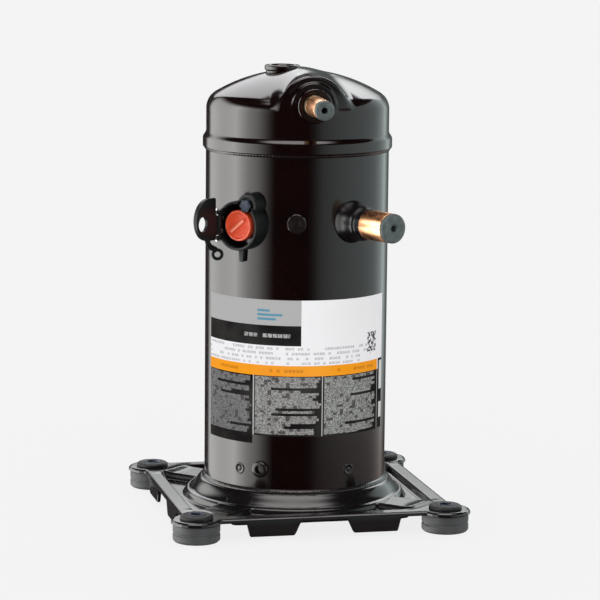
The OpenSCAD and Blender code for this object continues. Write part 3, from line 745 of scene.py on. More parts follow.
def sweep(path, width, thickness, sides=20, power=2.6):
    """Rounded strip or rod along a path; width lies in the path's own plane of bend."""
    path = np.array(path, float)
    tangent = np.gradient(path, axis=0)
    tangent /= np.linalg.norm(tangent, axis=1)[:, None]
    lift = np.array([0, 0, 1.0])
    rings = []
    for here, along in zip(path, tangent):
        across = np.cross(along, lift)
        across /= max(np.linalg.norm(across), 1e-9)
        up = np.cross(across, along)
        ring = []
        for k in range(sides):
            a = 2 * math.pi * k / sides
            c, s = math.cos(a), math.sin(a)
            u = math.copysign(abs(c) ** (2 / power), c) * width / 2
            v = math.copysign(abs(s) ** (2 / power), s) * thickness / 2
            ring.append(here + across * u + up * v)
        rings.append(ring)
    middle = [np.mean(rings[0], axis=0)] * sides
    end = [np.mean(rings[-1], axis=0)] * sides
    return grid(np.array([middle] + rings + [end]), wrap_columns=True)


def curve_through(points, count=40):
    """Smooth path through a few points."""
    points = np.array(points, float)
    at = np.linspace(0, len(points) - 1, count)
    base = np.clip(at.astype(int), 0, len(points) - 2)
    t = (at - base)[:, None]
    ends = np.vstack([2 * points[0] - points[1], points, 2 * points[-1] - points[-2]])
    p0, p1, p2, p3 = (ends[base + k] for k in range(4))
    return 0.5 * (2 * p1 + (p2 - p0) * t + (2 * p0 - 5 * p1 + 4 * p2 - p3) * t ** 2
                  + (3 * p1 - p0 - 3 * p2 + p3) * t ** 3)


def wall(across):
    """How far out the shell's wall is, at a distance across a port."""
    return np.sqrt(np.maximum(SHELL_R ** 2 - across ** 2, 0))


def saddle(profile, segments=128, level_at=6.0, sink=2.0, ripple=None):
    """Fitting that grows out of the shell's wall: (radius, height above the wall) points,
    which go flat once they are level_at above it. The first point is sunk into the wall."""
    angles = np.linspace(0, 2 * math.pi, segments, endpoint=False)
    rows = []
    points = [(profile[0][0], -sink)] + list(profile) + [(profile[-1][0], -sink)]
    for radius, rise in points:
        r = np.full(segments, float(radius))
        if ripple is not None:
            r = r + ripple(angles, rise)
        x, y = r * np.cos(angles), r * np.sin(angles)
        t = min(max(rise / level_at, 0), 1)
        t = t * t * (3 - 2 * t)
        out = wall(x) * (1 - t) + SHELL_R * t + rise
        rows.append(np.stack([x, y, out], axis=-1))
    return grid(np.array(rows), wrap_rows=True, wrap_columns=True)


def arc_points(centre, radius, start, end, steps=6):
    """Points along an arc, angles in degrees."""
    angles = np.radians(np.linspace(start, end, steps + 1))
    return [(centre[0] + radius * math.cos(a), centre[1] + radius * math.sin(a)) for a in angles]


def wave(angles, count, seed):
    """Uneven ripple round a weld, from -1 to 1, that closes on itself."""
    return (np.sin(angles * count + 0.7 * np.sin(angles * 7 + seed))
            + 0.5 * np.sin(angles * int(count * 0.37) + seed * 2)) / 1.5


# ---- Top cap ----------------------------------------------------------------------------

CAP_R = SHELL_R - 0.1
CAP_WALL = 2.4
KNUCKLE = 6.0
SHOULDER_Z = 316.0
FLARE_TOP = 294.5
FLARE_FULL = 289.0
HOOD_R = 26.0
HOOD_REACH = 64.0
HOOD_Z = CAP_HIGH[2] - 0.5 - HOOD_R
BOSS_R = 17.0
BOSS_REACH = 67.4


def round_max(a, b, radius):
    """Where two distance fields overlap, with the corner between them rounded."""
    return np.minimum(np.maximum(a, b), -radius) + np.hypot(
        np.maximum(a + radius, 0), np.maximum(b + radius, 0))


def round_min(a, b, radius):
    """Both of two distance fields, with the corner between them filled."""
    return np.maximum(np.minimum(a, b), radius) - np.hypot(
        np.maximum(radius - a, 0), np.maximum(radius - b, 0))


def smooth(value):
    t = np.clip(value, 0, 1)
    return t * t * (3 - 2 * t)


def dome():
    """Centre height and radius of the sphere that the crown follows."""
    x = CAP_R - KNUCKLE
    rise = CAP_HIGH[2] - SHOULDER_Z
    radius = (x * x + rise * rise - KNUCKLE * KNUCKLE) / (2 * (rise - KNUCKLE))
    return CAP_HIGH[2] - radius, radius


def cap_field(p):
    """Signed distance to the pressed cap: body, hood and the boss round the discharge."""
    radius = np.hypot(p[..., 0], p[..., 1])
    z = p[..., 2]
    flare = (SKIRT_R - CAP_R) * smooth((FLARE_TOP - z) / (FLARE_TOP - FLARE_FULL))
    centre, dome_r = dome()
    body = round_max(radius - CAP_R - flare, np.hypot(radius, z - centre) - dome_r, KNUCKLE)
    a = math.radians(DISCHARGE[0])
    across = p[..., 0] * math.cos(a) + p[..., 1] * math.sin(a)
    out = p[..., 0] * math.sin(a) - p[..., 1] * math.cos(a)
    hood = round_max(np.hypot(across, z - HOOD_Z) - HOOD_R, out - HOOD_REACH, 2.2)
    hood = np.maximum(hood, -out - 4) + 9 * smooth((SHOULDER_Z + 1 - z) / 5)
    boss = round_max(np.hypot(across, z - DISCHARGE[1]) - BOSS_R, out - BOSS_REACH, 1.4)
    boss = np.maximum(boss, -out - 4)
    return round_min(round_min(body, hood, 7.0), boss, 1.6)


def field_normal(field, points, step=0.02):
    """Unit gradient of a distance field."""
    sides = []
    for k in range(3):
        nudge = np.zeros(3)
        nudge[k] = step
        sides.append(field(points + nudge) - field(points - nudge))
    gradient = np.stack(sides, axis=-1)
    return gradient / np.linalg.norm(gradient, axis=-1, keepdims=True)


def cap_columns():
    """Bearings of the cap's columns, closer together round the hood."""
    near = np.arange(-34, 34, 0.45)
    far = np.arange(34, 326, 1.3)
    return np.radians(np.concatenate([near, far]) + DISCHARGE[0])


def make_cap():
    heart = np.array([0, 0, 305.0])
    bearings = cap_columns()
    around = np.stack([np.sin(bearings), -np.cos(bearings), np.zeros_like(bearings)], axis=-1)
    centre, dome_r = dome()
    edge = math.asin((CAP_R - KNUCKLE) / dome_r)
    guide = [(dome_r * math.sin(a), centre + dome_r * math.cos(a)) for a in np.linspace(0.002, edge, 90)]
    guide += arc_points((CAP_R - KNUCKLE, SHOULDER_Z), KNUCKLE, 55, 5, 9)
    guide += [(CAP_R, z) for z in np.linspace(SHOULDER_Z - 1, FLARE_TOP, 22)]
    guide += [(SKIRT_R, z) for z in np.linspace(FLARE_TOP - 0.6, CAP_LOW[2] + 1.4, 16)]
    rows = np.array([[around[j] * r + np.array([0, 0, z]) for j in range(len(bearings))] for r, z in guide])
    ray = rows - heart
    near, far = np.full(rows.shape[:2], 0.5), np.full(rows.shape[:2], 1.6)
    for _ in range(34):
        middle = (near + far) / 2
        outside = cap_field(heart + ray * middle[..., None]) > 0
        far = np.where(outside, middle, far)
        near = np.where(outside, near, middle)
    outer = heart + ray * near[..., None]
    normals = field_normal(cap_field, outer)
    lower = outer[-1]
    hem = []
    for k in range(1, 7):
        a = math.pi / 2 * k / 6
        ring = lower - around * 1.4 * (1 - math.cos(a))
        ring[:, 2] -= 1.4 * math.sin(a)
        hem.append(ring)
    inner = (outer - normals * CAP_WALL)[::-1]
    points = np.concatenate([outer, np.array(hem), inner])
    verts, faces = grid(points, wrap_columns=True)
    made = piece("cap_pressing", (verts, faces), shell_paint, stands_for=["top_cap"])
    turned = np.array([list(v.vector) for v in made.data.vertex_normals])
    at = np.array(verts)
    on_face = np.abs(cap_field(at)) < 0.01
    turned[on_face] = field_normal(cap_field, at[on_face])
    made.data.normals_split_custom_set_from_vertices(turned.tolist())


def make_button():
    low, high = span("top_button")
    x, y = (low[:2] + high[:2]) / 2
    radius, top = (high[0] - low[0]) / 2, high[2]
    profile = [
        (0, top - 9, 0), (radius - 1, top - 9, 0), (radius - 1, top - 4.4, 0.8), (radius, top - 3.6, 0.8),
        (radius, top - 0.1, 1.5), (radius - 2.9, top, 1.4), (radius - 4.2, top - 1.6, 1.2),
        (4, top - 2.0, 6), (0, top - 2.1, 0),
    ]
    piece("cap_button", moved(lathe(profile, 128), (x, y, 0)), shell_paint,
          stands_for=["top_button"])


# ---- Shell, welds and label -------------------------------------------------------------

def make_shell():
    low, high = SHELL_LOW[2], SHELL_HIGH[2]
    inner = SHELL_R - 3.3
    rows = [(inner, low), (SHELL_R - 0.5, low), (SHELL_R, low + 0.5)]
    rows += [(SHELL_R, z) for z in np.linspace(low + 4, high - 4, 60)]
    rows += [(SHELL_R, high - 0.5), (SHELL_R - 0.5, high), (inner, high)]
    angles = np.linspace(0, 2 * math.pi, 360, endpoint=False)
    points = np.array([[(r * math.cos(a), r * math.sin(a), z) for a in angles] for r, z in rows])
    piece("shell_wall", grid(points, wrap_rows=True, wrap_columns=True), shell_paint,
          stands_for=["main_shell"])


def weld_ring(foot, tip, width, seed):
    """Fillet weld round the shell, with the small ripples that a turning weld leaves."""
    rise = tip - foot
    section = [
        (SHELL_R - 0.6, foot, 0), (SHELL_R + width, foot, 0.2),
        (SHELL_R + width * 0.95, foot + 0.28 * rise, 0.5), (SHELL_R + width * 0.5, foot + 0.72 * rise, 0.5),
        (SHELL_R - 0.6, tip, 0),
    ]

    def ripple(radius, height, angles):
        share = smooth((radius - SHELL_R) / width)
        return radius + share * 0.13 * wave(angles, 168, seed), height

    return lathe(section, 900, 4, ripple)


def make_welds():
    skirt = CAP_LOW[2]
    upper = weld_ring(skirt + 0.1, skirt - 2.2, 1.25, 1.0)
    lower = weld_ring(COLLAR_TOP, COLLAR_TOP + 3, 1.9, 4.0)
    piece("seam_welds", merge(upper, lower), weld_paint, stands_for=["weld_beads"])


def plug_weld(radius):
    """Round weld that fills a hole in the wall: a raised ring about a shallow crater."""
    profile = [(radius * 1.04, -0.1)]
    profile += [(radius * (1 - 0.16 * (1 - math.cos(a))), 0.75 * math.sin(a))
                for a in np.linspace(0.3, 1.5, 5)]
    profile += [(radius * 0.72, 0.62), (radius * 0.58, 0.15), (radius * 0.44, 0.05), (radius * 0.34, 0.35),
                (radius * 0.2, 0.5), (radius * 0.04, 0.52)]

    def ripple(angles, rise):
        return 0.14 * wave(angles, 9, radius) * (1 if rise > 0 else 0.4)

    return saddle(profile, 96, 50, 1.5, ripple)


def make_plug_welds():
    for row, (count, first, height, radius) in (("upper", UPPER_WELDS), ("lower", LOWER_WELDS)):
        for i in range(count):
            piece(f"plug_weld_{row}_{i + 1}", plug_weld(radius), weld_paint,
                  place=port(first + 360 / count * i, height),
                  stands_for=["plug_welds"] if row == "upper" else ())


def make_oil_port():
    bearing, height = bearing_of("oil_port")
    boss = saddle([(6.4, 0), (6.3, 1.6), (5.9, 2.5), (5.2, 2.95), (3.4, 3.0), (3.1, 2.6), (3.0, -1.0),
                   (0.1, -1.2)], 96, 3.0, 1.5)
    piece("oil_port_boss", boss, weld_paint, place=port(bearing, height), stands_for=["oil_port"])


def make_label():
    low, high = span("rating_label")
    step = 0.5
    columns = ((LABEL_FIRST, LABEL_DEEP, low[2]), (LABEL_DEEP, LABEL_LAST, low[2] + 6.5))
    pieces = []
    for start, end, bottom in columns:
        bearings = np.radians(np.arange(start, end + step / 2, step))
        section = [(SHELL_R + 0.02, bottom), (SHELL_R + 0.24, bottom + 0.05)]
        section += [(SHELL_R + 0.25, z) for z in np.linspace(bottom + 0.3, high[2] - 0.3, 40)]
        section += [(SHELL_R + 0.24, high[2] - 0.05), (SHELL_R + 0.02, high[2])]
        points = np.array([[(r * math.sin(b), -r * math.cos(b), z) for b in bearings] for r, z in section])
        pieces.append(grid(points, wrap_rows=True))
    piece("label_sheet", merge(*pieces), label_film, stands_for=["rating_label"])


# ---- Mounting plate and feet ------------------------------------------------------------

PLATE_TOP = 17.0
PLATE_T = 3.0
PLATE_HALF = 104.0
LOBE_R = 19.0
COLLAR_R = 82.0
POCKET_DEPTH = 5.0
TAB_BOTTOM = PLATE_LOW[2]
LIP_R = SHELL_R + 2.0


def plate_outline():
    """Points round the plate at equal steps, with each foot's lobe."""
    corners = []
    quarter = arc_points((FOOT, FOOT), LOBE_R, -62, 152, 14)
    start, end = (PLATE_HALF, FOOT - LOBE_R * 0.94), (FOOT - LOBE_R * 0.94, PLATE_HALF)
    corner = [(*start, 7)] + [(x, y, 0) for x, y in quarter] + [(*end, 7)]
    for k in range(4):
        c, s = round(math.cos(k * math.pi / 2)), round(math.sin(k * math.pi / 2))
        corners += [(c * x - s * y, s * x + c * y, radius) for x, y, radius in corner]
    return resampled(rounded(corners, 6), 1120)


def plate_height(x, y):
    """Height of the plate's upper face: flat land, four pockets and the drawn collar."""
    radius = np.hypot(x, y)
    t = np.clip((COLLAR_R - radius) / (COLLAR_R - LIP_R), 0, 1)
    level = PLATE_TOP + (COLLAR_TOP - PLATE_TOP) * (1 - np.cos(math.pi * t)) / 2
    outward = np.maximum(np.abs(x), np.abs(y))
    along = np.minimum(np.abs(x), np.abs(y))
    pocket = round_max(round_max(outward - (PLATE_HALF - 11), (along - (outward - 19)) / math.sqrt(2), 3.5),
                       COLLAR_R + 1.5 - radius, 3.0)
    level = level - POCKET_DEPTH * smooth(-pocket / 3.6 + 0.15)
    bead = np.exp(-((radius - 112) / 5.0) ** 2) * smooth((along - 62) / 12)
    return level + 0.9 * bead


def tab_drop(x, y):
    """Height of the flange's lower edge, which falls to the tabs on each side."""
    outward = np.maximum(np.abs(x), np.abs(y))
    along = np.minimum(np.abs(x), np.abs(y))
    rim = PLATE_TOP - PLATE_T - 0.2
    tab = smooth((along - 16.5) / 7) * smooth((59.5 - along) / 3.5) * (outward > PLATE_HALF - 6)
    return rim + (TAB_BOTTOM - rim) * tab


def make_plate():
    edge = plate_outline()
    count = len(edge)
    towards = edge / np.linalg.norm(edge, axis=1)[:, None]
    ahead = np.roll(edge, -1, axis=0) - np.roll(edge, 1, axis=0)
    normal = np.stack([ahead[:, 1], -ahead[:, 0]], axis=1) / np.linalg.norm(ahead, axis=1)[:, None]
    bend = 2.6
    rows = []
    rim_z = tab_drop(edge[:, 0], edge[:, 1])

    def row(flat, level):
        rows.append(np.column_stack([flat, level]))

    inner = towards * LIP_R
    shelf = edge - normal * bend
    row(towards * SHELL_R, np.full(count, COLLAR_TOP - PLATE_T))
    row(towards * SHELL_R, np.full(count, COLLAR_TOP))
    for t in np.linspace(0, 1, 86):
        flat = inner + (shelf - inner) * t
        row(flat, plate_height(flat[:, 0], flat[:, 1]))
    for a in np.radians(np.linspace(10, 90, 8)):
        row(shelf + normal * bend * math.sin(a), PLATE_TOP - bend * (1 - math.cos(a)) + np.zeros(count))
    wall_top = PLATE_TOP - bend
    for t in (0.35, 0.7, 0.93):
        row(edge, wall_top + (rim_z - wall_top) * t)
    row(edge - normal * 0.3, rim_z)
    row(edge - normal * 2.2, rim_z)
    row(edge - normal * 2.5, rim_z + 0.3)
    under = edge - normal * 2.6
    row(under, np.full(count, PLATE_TOP - PLATE_T))
    for t in np.linspace(0.06, 1, 40):
        flat = under + (inner - under) * t
        row(flat, plate_height(flat[:, 0], flat[:, 1]) - PLATE_T)
    piece("stamped_plate", grid(np.array(rows), wrap_rows=True, wrap_columns=True), plate_paint,
          stands_for=["base_plate"], sharp=60)


def at_feet(shape):
    return merge(*[moved(shape, (x * FOOT, y * FOOT, 0)) for x in (-1, 1) for y in (-1, 1)])


def make_feet():
    radius = span("rubber_feet")[1][0] - FOOT
    under = PLATE_TOP - PLATE_T
    grommet = lathe([
        (6.45, 0.4, 0), (radius - 1.6, 0, 1.2), (radius, 1.6, 1.0), (radius, 5.6, 0.3),
        (radius - 0.45, 6.2, 0.3), (radius - 0.45, 7.2, 0.3), (radius, 7.8, 0.3),
        (radius, under - 0.9, 0.9), (radius - 1.4, under, 0.3),
        (10, under, 0), (10, PLATE_TOP, 0), (12.4, PLATE_TOP, 0.2), (12.4, PLATE_TOP + 2, 1.3),
        (10.6, PLATE_TOP + 3, 1.0), (6.45, PLATE_TOP + 3, 0.5),
    ], 128)
    piece("grommets", at_feet(grommet), foot_rubber, stands_for=["rubber_feet"])
    sleeve_top = PLATE_TOP + 3.4
    sleeve = lathe([(4.3, 0, 0.3), (6.4, 0, 0.3), (6.4, sleeve_top, 0.4), (4.3, sleeve_top, 0.4)], 96, 3)
    piece("bolt_sleeves", at_feet(sleeve), dark_zinc, stands_for=["foot_sleeves"])


# ---- Tubes, spud and plugs --------------------------------------------------------------

def tube(radius, wall_t, start, end):
    """Cut tube with its edges lightly broken, along a port."""
    return lathe([(radius - wall_t, start, 0.2), (radius, start, 0.2), (radius, end, 0.35),
                  (radius - wall_t, end, 0.35)], 128, 3)


def rubber_plug(radius, wall_t, mouth, hole):
    shank = radius - wall_t - 0.1
    return lathe([
        (hole, mouth - 11, 0.2), (shank - 0.4, mouth - 12, 0.6), (shank, mouth - 10.8, 0.5),
        (shank, mouth + 0.1, 0.1), (radius - 0.15, mouth + 0.1, 0.4), (radius - 0.1, mouth + 2.8, 0.8),
        (radius - 1.3, mouth + 4, 1.0),
        (hole + 1.4, mouth + 4, 0.4), (hole + 0.9, mouth + 3.5, 0.4), (hole, mouth + 3.2, 0.5),
    ], 128)


def make_suction():
    at = port(*SUCTION)
    stub_low, stub_high = span("suction_stub")
    radius, mouth = (stub_high[2] - stub_low[2]) / 2, SUCTION_MOUTH
    spud = saddle([(16.0, 0.0), (15.8, 1.1), (15.4, 2.1), (14.8, 3.0), (14.1, 4.1), (13.5, 5.6),
                   (13.1, 7.6), (12.9, 10.5), (12.9, 13.6), (12.5, 14.6), (11.9, 15.0), (11.2, 15.0),
                   (11.12, 14.2)], 144, 7, 3)
    piece("suction_spud_body", spud, fitting_paint, place=at, stands_for=["suction_spud"])
    piece("suction_tube", tube(radius, 1.1, SHELL_R - 8, mouth), suction_copper, place=at,
          stands_for=["suction_stub"])
    fillet = [(10.9, 84.4, 0), (12.0, 84.6, 0.3), (11.5, 85.4, 0.8), (11.15, 87.0, 0.2)]
    piece("suction_braze", lathe(fillet, 144), fitting_paint, place=at)
    piece("suction_bung_rubber", rubber_plug(radius, 1.1, mouth, 2.5), plug_rubber, body="suction_bung",
          place=at, stands_for=["suction_plug"])


def make_discharge():
    at = port(*DISCHARGE)
    low, high = span("discharge_stub")
    radius, mouth = (high[2] - low[2]) / 2, DISCHARGE_MOUTH
    ring = lathe([
        (radius + 0.02, 57, 0), (13, 57, 0), (13, SHELL_R + 1.6, 1.3), (10.6, SHELL_R + 1.6, 0.5),
        (10.0, SHELL_R + 0.9, 0.5), (8.9, SHELL_R + 0.9, 0.4), (radius + 0.02, SHELL_R + 0.2, 0),
    ], 144)
    piece("discharge_collar_ring", ring, shell_paint, place=at, stands_for=["discharge_collar"])
    piece("discharge_tube", tube(radius, 1.0, 55, mouth), copper, place=at,
          stands_for=["discharge_stub"])
    fillet = [(7.3, 69.8, 0), (8.9, 70.2, 0.3), (8.0, 71.4, 0.9), (7.55, 73.0, 0.2)]
    piece("discharge_braze", lathe(fillet, 144), braze, place=at)
    piece("discharge_bung_rubber", rubber_plug(radius, 1.0, mouth, 2.3), plug_rubber, body="discharge_bung",
          place=at, stands_for=["discharge_plug"])


# ---- Electrical terminal ----------------------------------------------------------------

FENCE_R = 18.5
FENCE_INNER_R = 16.2
FENCE_OUT = 82.0
EARTH = (7.2, 15.2)
EARTH_TOP = FENCE_OUT - 3
HINGE_X, _, HINGE_OUT = port(*TERMINAL).inverted() @ (Vector(COVER_JOINT["pos_m"]) / MM)
STAND = Matrix(((1, 0, 0), (0, 0, -1), (0, 1, 0)))


def make_fence():
    def lower_at_screw(radius, height, angles):
        away = np.hypot(radius * np.cos(angles) - EARTH[0], radius * np.sin(angles) - EARTH[1])
        share = smooth((away - 5.8) / 1.0)
        return radius, np.where(height > EARTH_TOP, EARTH_TOP + (height - EARTH_TOP) * share, height)

    ring = lathe([
        (FENCE_INNER_R, 56, 0), (FENCE_R + 0.4, 56, 0), (FENCE_R + 0.3, 70, 0.4), (FENCE_R, FENCE_OUT, 0.9),
        (FENCE_INNER_R, FENCE_OUT, 0.7), (FENCE_INNER_R - 0.1, 66, 0),
    ], 288, 5, lower_at_screw)
    boss = moved(lathe([
        (0, 56, 0), (9.4, 56, 0), (9.0, EARTH_TOP, 1.3), (5.9, EARTH_TOP, 0.4), (5.6, EARTH_TOP - 0.7, 0.3),
        (0, EARTH_TOP - 0.7, 0),
    ], 128), (*EARTH, 0))
    radius = np.hypot(boss[0][:, 0], boss[0][:, 1])
    boss[0][:, :2] *= np.maximum(1, (FENCE_INNER_R + 0.3) / radius)[:, None]
    shapes = [ring, boss]
    for y in (-9.5, 9.5):
        ear = slab([(-2.5, FENCE_OUT - 4, 0.6), (2.5, FENCE_OUT - 4, 0.6), (2.5, HINGE_OUT + 2.5, 2.2),
                    (-2.5, HINGE_OUT + 2.5, 2.2)], -1.5, 1.5, 0.45, 128)
        shapes.append(moved(ear, (HINGE_X, y, 0), STAND))
    tab = slab([(-3.6, -28, 1.2), (0.4, -28, 1.2), (1.2, 1.5 - FENCE_R, 0), (-4.4, 1.5 - FENCE_R, 0)],
               67.5, 73, 0.8, 96)
    piece("terminal_ring", merge(*shapes, tab), black_moulding, place=port(*TERMINAL),
          stands_for=["terminal_fence"])
    hexagon = [(5 * math.cos(a), 5 * math.sin(a), 0.3) for a in np.radians(range(0, 360, 60))]
    screw = merge(
        slab(hexagon, EARTH_TOP - 0.7, EARTH_TOP + 2.4, 0.5, 96),
        lathe([(0, EARTH_TOP + 2, 0), (3.6, EARTH_TOP + 2, 0), (3.3, EARTH_TOP + 2.75, 0.3),
               (0, EARTH_TOP + 2.8, 0)], 64),
    )
    piece("earth_screw_head", moved(screw, (*EARTH, 0)), dark_zinc, place=port(*TERMINAL),
          stands_for=["ground_screw"])


def strip(path, low, high, thickness):
    """Bent sheet strip: a path of (x, y, bend radius) points, stood up from low to high."""
    line = rounded(path, 5)
    ahead = np.gradient(line, axis=0)
    normal = np.stack([-ahead[:, 1], ahead[:, 0]], axis=1) / np.linalg.norm(ahead, axis=1)[:, None]
    a, b = line + normal * thickness / 2, line - normal * thickness / 2
    rows = [(a, low), (a, high), (b, high), (b, low)]
    points = np.array([np.column_stack([flat, np.full(len(line), level)]) for flat, level in rows])
    return grid(points, wrap_rows=True)


def make_block():
    """Round plug-on block with a plain grip rib across its face."""
    block = lathe([
        (0, 71.2, 0), (10.9, 71.2, 0.6), (11.5, 74, 0.5), (11.5, BLOCK_OUT, 1.2), (9.7, BLOCK_OUT, 0.5),
        (9.3, BLOCK_OUT - 1.2, 0.6), (0, BLOCK_OUT - 1.2, 0),
    ], 128)
    lean = math.radians(RIB_LEAN)
    along = np.linspace(-7.4, 7.4, 28)
    path = np.stack([math.cos(lean) * along, math.sin(lean) * along,
                     np.full_like(along, BLOCK_OUT - 0.6)], axis=-1)
    rib = sweep(path, 2.7, 3.7, 24, 3.2)
    piece("terminal_plug_block", merge(block, rib), red_moulding, place=port(*TERMINAL),
          stands_for=["terminal_block"])


def make_clips():
    shapes = []
    for y in (-3.5, 6.5):
        clip = strip([(-14.35, FENCE_OUT - 9, 0), (-14.35, FENCE_OUT - 0.65, 0.7),
                      (-11.9, FENCE_OUT - 0.65, 0)], 0, 3, 0.7)
        shapes.append(moved(clip, (0, y, 0), STAND))
    piece("spring_clips", merge(*shapes), zinc_steel, place=port(*TERMINAL), stands_for=["fence_clips"])


def make_cover():
    """Moulded D-shaped cover with a thumb hole, a rim, a hinge barrel and a strap with an eyelet."""
    open_by = math.radians(COVER_JOINT["range_deg"][1])
    end, lift, radius = -2.0, 5.0, 15.8
    hole = (end + 8.4, lift - 2.6, 5.6)
    neck = HINGE_X + 4
    arc = [(end + radius * math.cos(a), lift + radius * math.sin(a), 0)
           for a in np.radians(np.linspace(-88, 88, 31))]
    outline = [(HINGE_X, -7.4, 0.5), (neck, -7.4, 0.8), (neck, lift - radius, 1.6)] + arc
    outline += [(neck, lift + radius, 1.6), (neck, 7.4, 0.8), (HINGE_X, 7.4, 0.5)]
    plate = slab(outline, HINGE_OUT - 1, HINGE_OUT + 1, 0.6, 360, hole)
    bow = np.radians(np.linspace(-86, 86, 60))
    lip_r = radius - 0.9
    rim = sweep(np.stack([end + lip_r * np.cos(bow), lift + lip_r * np.sin(bow),
                          np.full_like(bow, HINGE_OUT + 1.4)], axis=-1), 1.7, 3.1, 16, 3)
    eye = moved(lathe([(hole[2], -1.4, 0.4), (hole[2] + 1, -1.4, 0.5), (hole[2] + 1, 1.4, 0.5),
                       (hole[2], 1.4, 0.4)], 96, 4),
                (*hole[:2], HINGE_OUT))
    barrel = moved(lathe([(1.08, -7.4, 0.2), (2.5, -7.4, 0.5), (2.5, 7.4, 0.5), (1.08, 7.4, 0.2)], 64, 3),
                   (HINGE_X, 0, HINGE_OUT), STAND)
    strap = sweep(curve_through([(1.5, -7, HINGE_OUT), (-1, -11.4, HINGE_OUT), (-4.2, -15, HINGE_OUT + 0.3),
                                 (-8.4, -17, HINGE_OUT + 0.3), (-11.6, -18.4, HINGE_OUT)], 48), 4.4, 2.8)
    turn = Matrix.Rotation(math.radians(-57), 3, "Y")
    eyelet = moved(lathe([(2.2, -1.5, 0.7), (4.6, -1.5, 1.2), (4.6, 1.5, 1.2), (2.2, 1.5, 0.7)], 80),
                   (-13.7, -22, HINGE_OUT), turn)
    hinge = Matrix.Translation((HINGE_X, 0, HINGE_OUT))
    opened = hinge @ Matrix.Rotation(-open_by, 4, "Y") @ hinge.inverted()
    piece("cover_moulding", merge(plate, rim, eye, barrel, strap, eyelet), black_moulding, body="cover",
          place=port(*TERMINAL) @ opened, stands_for=["terminal_cover"])


# ---- Studio -----------------------------------------------------------------------------

FLOOR_TONE = (0.905, 0.905, 0.905)


def make_floor():
    mesh = bpy.data.meshes.new("studio_floor")
    reach = 30.0
    mesh.from_pydata([(-reach, -reach, 0), (reach, -reach, 0), (reach, reach, 0), (-reach, reach, 0)], [],
                     [(0, 1, 2, 3)])
    floor = bpy.data.objects.new("studio_floor", mesh)
    bpy.context.scene.collection.objects.link(floor)
    made, graph = material("floor_paper")
    grain = graph.noise(2, 2)
    paper = graph.mix(grain, (0.8, 0.8, 0.8), (0.78, 0.78, 0.78))
    diffuse = graph.node("ShaderNodeBsdfDiffuse", {"Color": paper})
    glow = graph.node("ShaderNodeEmission", {"Color": FLOOR_TONE, "Strength": 1.012})
    both = graph.node("ShaderNodeMixShader", {0: 0.9})
    graph.tree.links.new(diffuse.outputs[0], both.inputs[1])
    graph.tree.links.new(glow.outputs[0], both.inputs[2])
    graph.tree.links.new(both.outputs[0], graph.node("ShaderNodeOutputMaterial").inputs["Surface"])
    mesh.materials.append(made)
    floor.visible_glossy = False


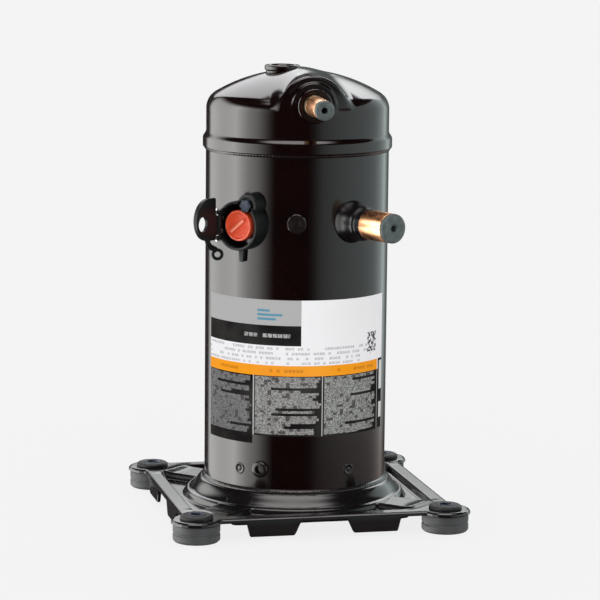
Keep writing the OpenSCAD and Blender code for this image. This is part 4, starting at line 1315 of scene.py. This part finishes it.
def make_world():
    """Soft light panels set round the object, and a plain pale backdrop for the camera."""
    world = bpy.data.worlds.new("studio")
    bpy.context.scene.world = world
    world.use_nodes = True
    graph = Graph(world.node_tree)
    x, y, z = graph.axes(graph.out(graph.node("ShaderNodeTexCoord"), "Generated"))
    bearing = graph.math("ARCTAN2", x, 0 - y) * (180 / math.pi) - CAMERA_BEARING
    elevation = graph.math("ARCSINE", z) * (180 / math.pi)

    def window(centre, half, soft):
        off = graph.math("WRAP", bearing - centre, 180, -180).abs()
        return off.fade(half + soft, half - soft)

    def heights(low, high, soft):
        return elevation.fade(low - soft, low + soft) * elevation.fade(high + soft, high - soft)

    def ramp(stops):
        """Brightness against bearing, in straight runs between stops."""
        turned = graph.math("WRAP", bearing, 180, -180) / 360 + 0.5
        made = graph.node("ShaderNodeValToRGB", {0: turned})
        elements = made.color_ramp.elements
        top = max(level for _, level in stops)
        for i, (at, level) in enumerate(stops):
            ends = {0: 0, len(stops) - 1: 1}
            element = elements[ends[i] if i == 0 else -1] if i in ends else elements.new(at / 360 + 0.5)
            element.color = (level / top,) * 3 + (1,)
        return graph.out(made) * top

    sides_left = ramp([(-180, 0.0), (-147, 0.05), (-142, 1.3), (-138, 2.3), (-125, 3.3), (-106, 4.5),
                       (-90, 6.2), (-83, 7.2), (-76, 5.8), (-64, 3.7), (-50, 2.3), (-42, 1.15), (-35, 0.4),
                       (-29, 0.0), (180, 0.0)])
    sides_right = ramp([(-180, 0.0), (14, 0.0), (22, 0.15), (32, 0.6), (52, 0.95), (75, 1.15), (115, 1.15),
                        (132, 1.5), (142, 1.9), (150, 0.8), (158, 0.2), (180, 0.1)])
    layers = [
        (sides_left * heights(-40, 28, 7), (1.0, 1.0, 0.975)),
        (sides_right * heights(-10.8, 30, 1.6), (0.86, 1.0, 0.99)),
        (sides_right * heights(-40, -10.8, 1.6) * 0.35, (1.0, 0.8, 0.75)),
        (window(180, 5, 2.5) * heights(12, 17, 1) * 2.1, (0.98, 1.0, 1.0)),
        (window(-164, 13, 2) * heights(15, 57, 1.5) * (elevation * 0.06 + 1.0), (0.99, 0.98, 1.0)),
        (window(159, 15, 2) * heights(15, 40, 1.5) * (elevation - 13) * 0.22, (0.98, 0.99, 1.0)),
        (elevation.fade(62, 76) * 4.0, (1.0, 0.96, 0.95)),
        (window(0, 60, 15) * heights(53, 70, 4) * 4.5, (1.0, 0.96, 0.95)),
        (elevation.fade(-90, 60) * 0.022 + 0.003, (1.0, 0.85, 0.85)),
    ]
    total = (0.0, 0.0, 0.0)
    for strength, tint in layers:
        added = graph.node("ShaderNodeVectorMath", operation="MULTIPLY_ADD")
        graph.feed(added.inputs[0], graph.vector(strength, strength, strength))
        graph.feed(added.inputs[1], tint)
        graph.feed(added.inputs[2], total)
        total = graph.out(added)
    path = graph.node("ShaderNodeLightPath")
    haze = 1.27 - window(90, 50, 40) * 0.7 - window(-90, 50, 40) * 0.3
    sky = graph.mix(graph.out(path, "Is Diffuse Ray"), total, graph.vector(haze, haze, haze))
    sky = graph.mix(graph.out(path, "Is Camera Ray"), sky, FLOOR_TONE)
    lights = graph.node("ShaderNodeBackground", {"Color": sky})
    graph.tree.links.new(lights.outputs[0], graph.node("ShaderNodeOutputWorld").inputs["Surface"])
    world.cycles.sampling_method = "NONE"


def make_camera():
    camera = bpy.data.cameras.new("camera")
    camera.lens = CAMERA_LENS
    camera.sensor_width = 36
    camera.shift_x, camera.shift_y = CAMERA_SHIFT
    made = bpy.data.objects.new("camera", camera)
    made.location = CAMERA_PLACE
    made.rotation_euler = CAMERA_TURN
    bpy.context.scene.collection.objects.link(made)
    bpy.context.scene.camera = made
    bpy.context.scene.view_settings.view_transform = "Standard"


dress_cad_nodes()
make_cap()
make_button()
make_shell()
make_welds()
make_plug_welds()
make_oil_port()
make_label()
make_plate()
make_feet()
make_suction()
make_discharge()
make_fence()
make_block()
make_clips()
make_cover()
make_floor()
make_world()
make_camera()
